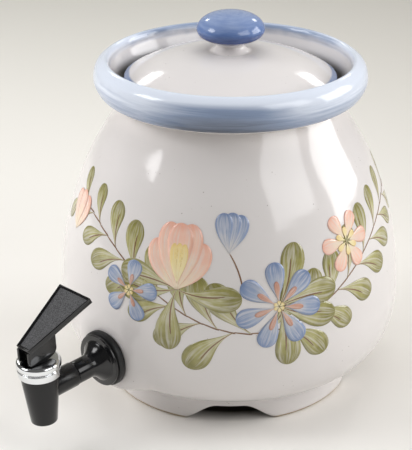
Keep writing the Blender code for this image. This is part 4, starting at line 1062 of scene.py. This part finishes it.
# Seat cup. Soft natural silicone: a flange clamped under the bonnet, a thin wall, and a nose that
# closes the outlet. Its floor rises with the stem, and the wall between gives.
CUP_WALL = 0.0009
CUP_OUTER_RADIUS = CHAMBER_RADIUS - 0.0004
CUP_FLOOR = 0.0010
CUP_SOCKET_FLOOR = -0.0042
CUP_SOCKET_NECK = -0.0012
CUP_NECK_RADIUS = 0.0020
CUP_BULB_RADIUS = 0.0030
NOSE_SHOULDER = -0.0038
NOSE_RADIUS = 0.0037
NOSE_STEP_RADIUS = 0.0057
cup_flange_bottom = CUP_FLANGE_TOP - CUP_FLANGE_THICKNESS
cup_inside = CUP_OUTER_RADIUS - CUP_WALL
cup_rim = BARREL_NECK_RADIUS - GAP
nose_bottom = -SEAT_DEPTH - SEAT_CONE + 2 * GAP
cup_shape = turned([(0.0, CUP_SOCKET_FLOOR), (CUP_BULB_RADIUS, CUP_SOCKET_FLOOR),
                    (CUP_BULB_RADIUS, CUP_SOCKET_NECK), (CUP_NECK_RADIUS, CUP_SOCKET_NECK),
                    (CUP_NECK_RADIUS, CUP_FLOOR), (cup_inside, CUP_FLOOR),
                    (cup_inside, CUP_FLANGE_TOP), (cup_rim, CUP_FLANGE_TOP),
                    (cup_rim, cup_flange_bottom),
                    (CUP_OUTER_RADIUS, cup_flange_bottom), (CUP_OUTER_RADIUS, CUP_FLOOR - CUP_WALL),
                    (NOSE_STEP_RADIUS, NOSE_SHOULDER), (NOSE_STEP_RADIUS, -SEAT_DEPTH + GAP),
                    (NOSE_RADIUS, nose_bottom), (0.0, nose_bottom)], 72)
bevel_sharp(cup_shape, 0.0001, segments=2)
walls = [e for e in cup_shape.edges if abs(e.verts[0].co.z - e.verts[1].co.z) > 0.010]
bmesh.ops.subdivide_edges(cup_shape, edges=walls, cuts=10)
silicone = plain_finish("natural_silicone", "DAD5C9", "CFC9BB", 0.45)
cup = finish_piece(cup_shape, "silicone_seat_cup", None, silicone,
                   stands_for=["seat_cup"], place=ON_BARREL)
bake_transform(cup)


# Return spring. One bright steel wire 0.9 mm thick: six open turns and a closed one at each
# end, between the stem's collar and the bonnet. It shortens as the lever lifts the stem.
SPRING_WIRE = 0.0009
SPRING_RADIUS = 0.0041
SPRING_STEPS = 24
SPRING_SIDES = 10
OPEN_TURNS = 6
cad_spring = frame["nodes"]["return_spring"].data
coil_heights = [(vertex.co - BARREL).dot(UP) for vertex in cad_spring.vertices]
coil_low, coil_high = min(coil_heights) + SPRING_WIRE / 2, max(coil_heights) - SPRING_WIRE / 2
closed_rise = SPRING_WIRE + GAP
coil = bmesh.new()
wire = bmesh.ops.create_circle(coil, segments=SPRING_SIDES, radius=SPRING_WIRE / 2)["verts"]
bmesh.ops.rotate(coil, verts=wire, cent=(0, 0, 0), matrix=Matrix.Rotation(pi / 2, 3, "X"))
bmesh.ops.translate(coil, verts=wire, vec=(SPRING_RADIUS, 0.0, coil_low))
end_turn = coil.verts[:] + coil.edges[:]
open_rise = coil_high - coil_low - 2 * closed_rise
for turns, rise in ((1, closed_rise), (OPEN_TURNS, open_rise), (1, closed_rise)):
    steps = turns * SPRING_STEPS
    end_turn = bmesh.ops.spin(coil, geom=end_turn, cent=(0, 0, 0), axis=(0, 0, 1),
                              dvec=(0, 0, rise / steps), angle=turns * tau,
                              steps=steps)["geom_last"]
bmesh.ops.holes_fill(coil, edges=[e for e in coil.edges if e.is_boundary], sides=SPRING_SIDES)
bmesh.ops.recalc_face_normals(coil, faces=coil.faces)
spring_steel = plain_finish("spring_steel", "C4C6C9", "A8AAAE", 0.25, metallic=1.0)
spring = finish_piece(coil, "return_spring_wire", "crock_and_tap", spring_steel,
                      stands_for=["return_spring"], place=ON_BARREL)
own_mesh(spring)


# Studio. A pale paper sweep with painted light and shade: lighter in front, darker towards the
# back and to the right, and a painted shadow under the crock. It throws a little less light on
# the crock than its tone shows; softboxes left, right, rear and overhead, low fills on both sides.
SWEEP_WIDTH = 6.0
SWEEP_DEPTH = 3.0
SWEEP_TOP = 3.0
BEND_START = 1.1
BEND_RADIUS = 0.8
AIM_HEIGHT = 0.11
ROOM_FILL = 0.17
ROOM_REFLECTED = 0.14
# Painted shadow: the paper under the crock, seen through the foot's notches
PAPER_SHADOW_UNDER_CROCK = "3A372F"
# Painted shade: the paper to the right is darker
PAPER_SHADE_TO_THE_RIGHT = "CBC7C0"
PAPER_BOUNCE = 0.89
sweep = bmesh.new()
line = [(-SWEEP_DEPTH, 0.0), (BEND_START, 0.0)]
line += [(BEND_START + BEND_RADIUS * sin(a), BEND_RADIUS - BEND_RADIUS * cos(a))
         for a in np.linspace(0, pi / 2, 24)[1:]]
line += [(BEND_START + BEND_RADIUS, SWEEP_TOP)]
chain = [sweep.verts.new((-SWEEP_WIDTH / 2, y, z)) for y, z in line]
for first, second in zip(chain, chain[1:]):
    sweep.edges.new((first, second))
moved = bmesh.ops.extrude_edge_only(sweep, edges=sweep.edges[:])["geom"]
bmesh.ops.translate(sweep, verts=[v for v in moved if isinstance(v, bmesh.types.BMVert)],
                    vec=(SWEEP_WIDTH, 0, 0))
CAMERA_TURN = radians(44.0)
bmesh.ops.rotate(sweep, verts=sweep.verts, cent=(0, 0, 0),
                 matrix=Matrix.Rotation(CAMERA_TURN, 3, "Z"))
bmesh.ops.recalc_face_normals(sweep, faces=sweep.faces)
paper_sweep = mesh_object("paper_sweep", sweep)
paper_sweep.data.shade_smooth()
paper, tree, shader, place = new_material("sweep_paper")
flat = add_node(tree, "VectorRotate", {"Vector": place, "Axis": (0, 0, 1), "Angle": -CAMERA_TURN})
beside, back, _ = add_node(tree, "SeparateXYZ", [flat]).outputs
# Painted light and shade: the paper is lighter in front and darker towards the back
distance = add_node(tree, "MapRange", [back, -0.16, 1.6])
fade = add_node(tree, "ValToRGB", [distance])
fade.color_ramp.elements[0].color = tint("FBF9F6")
fade.color_ramp.elements.new(0.10).color = tint("F2EFEA")
fade.color_ramp.elements[2].color = tint("CBC9C0")
# Painted shadow: the paper is dark under the crock's foot
from_axis = add_node(tree, "VectorMath", [place, AXIS], operation="DISTANCE").outputs["Value"]
shadow_under_crock = add_node(tree, "MapRange", [from_axis, FOOT_RADIUS - 0.001, FOOT_RADIUS - 0.014])
# Painted shade: the paper darkens towards the right
right_shade = add_node(tree, "MapRange", {0: beside, 2: 0.5})
paper_tone_and_shade = add_node(tree, "Mix", {0: right_shade, 6: fade, 7: tint(PAPER_SHADE_TO_THE_RIGHT)},
                      data_type="RGBA").outputs[2]
ground = add_node(tree, "Mix", {0: shadow_under_crock, 6: paper_tone_and_shade, 7: tint(PAPER_SHADOW_UNDER_CROCK)},
                  data_type="RGBA").outputs[2]
rays = add_node(tree, "LightPath").outputs
mirrored = add_node(tree, "Math", [rays["Is Camera Ray"], rays["Is Glossy Ray"]],
                    operation="MAXIMUM")
looked_at = add_node(tree, "Math", [mirrored, rays["Is Transmission Ray"]], operation="MAXIMUM")
bounce = add_node(tree, "MapRange", {0: looked_at, 3: PAPER_BOUNCE, 4: 1.0})
thrown = add_node(tree, "VectorMath", {0: ground, "Scale": bounce}, operation="SCALE")
tree.links.new(thrown.outputs[0], shader.inputs["Base Color"])
shader.inputs["Roughness"].default_value = 0.9
shader.inputs["Specular IOR Level"].default_value = 0.1
paper_sweep.data.materials.append(paper)


def softbox(name, turn, rise, distance, width, height, power, glossy=True):
    """A rectangular lamp aimed at the crock, turned to the right of the camera and raised."""
    aim = AXIS + Vector((0.0, 0.0, AIM_HEIGHT))
    away = CAMERA_TURN + radians(turn)
    raised = radians(rise)
    level = cos(raised)
    lamp = bpy.data.lights.new(name, "AREA")
    lamp.shape = "RECTANGLE"
    lamp.size = width
    lamp.size_y = height
    lamp.energy = power
    holder = add_object(name, lamp)
    direction = Vector((sin(away) * level, -cos(away) * level, sin(raised)))
    holder.location = aim + direction * distance
    holder.rotation_euler = (-direction).to_track_quat("-Z", "Y").to_euler()
    holder.visible_glossy = glossy


softbox("left_softbox", -78, 37, 1.4, 0.50, 0.45, 4.8)
softbox("right_softbox", 50, 32, 1.4, 0.85, 0.80, 6.6)
softbox("left_side_fill", -104, 16, 1.5, 0.9, 0.8, 12.2, glossy=False)
softbox("right_side_fill", 98, 20, 1.5, 0.9, 0.8, 12.6)
softbox("rear_left_softbox", -150, 34, 1.4, 0.20, 0.16, 0.8)
softbox("rear_right_softbox", 150, 34, 1.4, 0.20, 0.16, 0.8)
softbox("overhead_softbox", 180, 84, 1.3, 1.2, 1.2, 7.5, glossy=False)
room = bpy.data.worlds.new("room")
bpy.context.scene.world = room
room.use_nodes = True
tree = room.node_tree
mirrored = add_node(tree, "LightPath").outputs["Is Glossy Ray"]
dim = add_node(tree, "MapRange", {0: mirrored, 3: ROOM_FILL, 4: ROOM_REFLECTED})
tree.nodes["Background"].inputs[0].default_value = tint("F4F3F0")
tree.links.new(dim.outputs[0], tree.nodes["Background"].inputs[1])


# Camera, as the photograph was taken: 1.04 m from the crock's foot, looking down 24 degrees
CAMERA_DISTANCE = 0.9057
CAMERA_HEIGHT = 0.5013
CAMERA_PITCH = radians(23.789)
CAMERA_YAW = radians(0.9755)
CAMERA_LENS = 120.2
camera = bpy.data.cameras.new("camera")
camera.lens = CAMERA_LENS
camera.sensor_width = 36.0
camera_holder = add_object("camera", camera)
camera_holder.location = AXIS + Vector((sin(CAMERA_TURN) * CAMERA_DISTANCE,
                                        -cos(CAMERA_TURN) * CAMERA_DISTANCE, CAMERA_HEIGHT))
camera_holder.rotation_euler = (pi / 2 - CAMERA_PITCH, 0.0, CAMERA_TURN + CAMERA_YAW)
bpy.context.scene.camera = camera_holder
bpy.context.scene.view_settings.view_transform = "Standard"
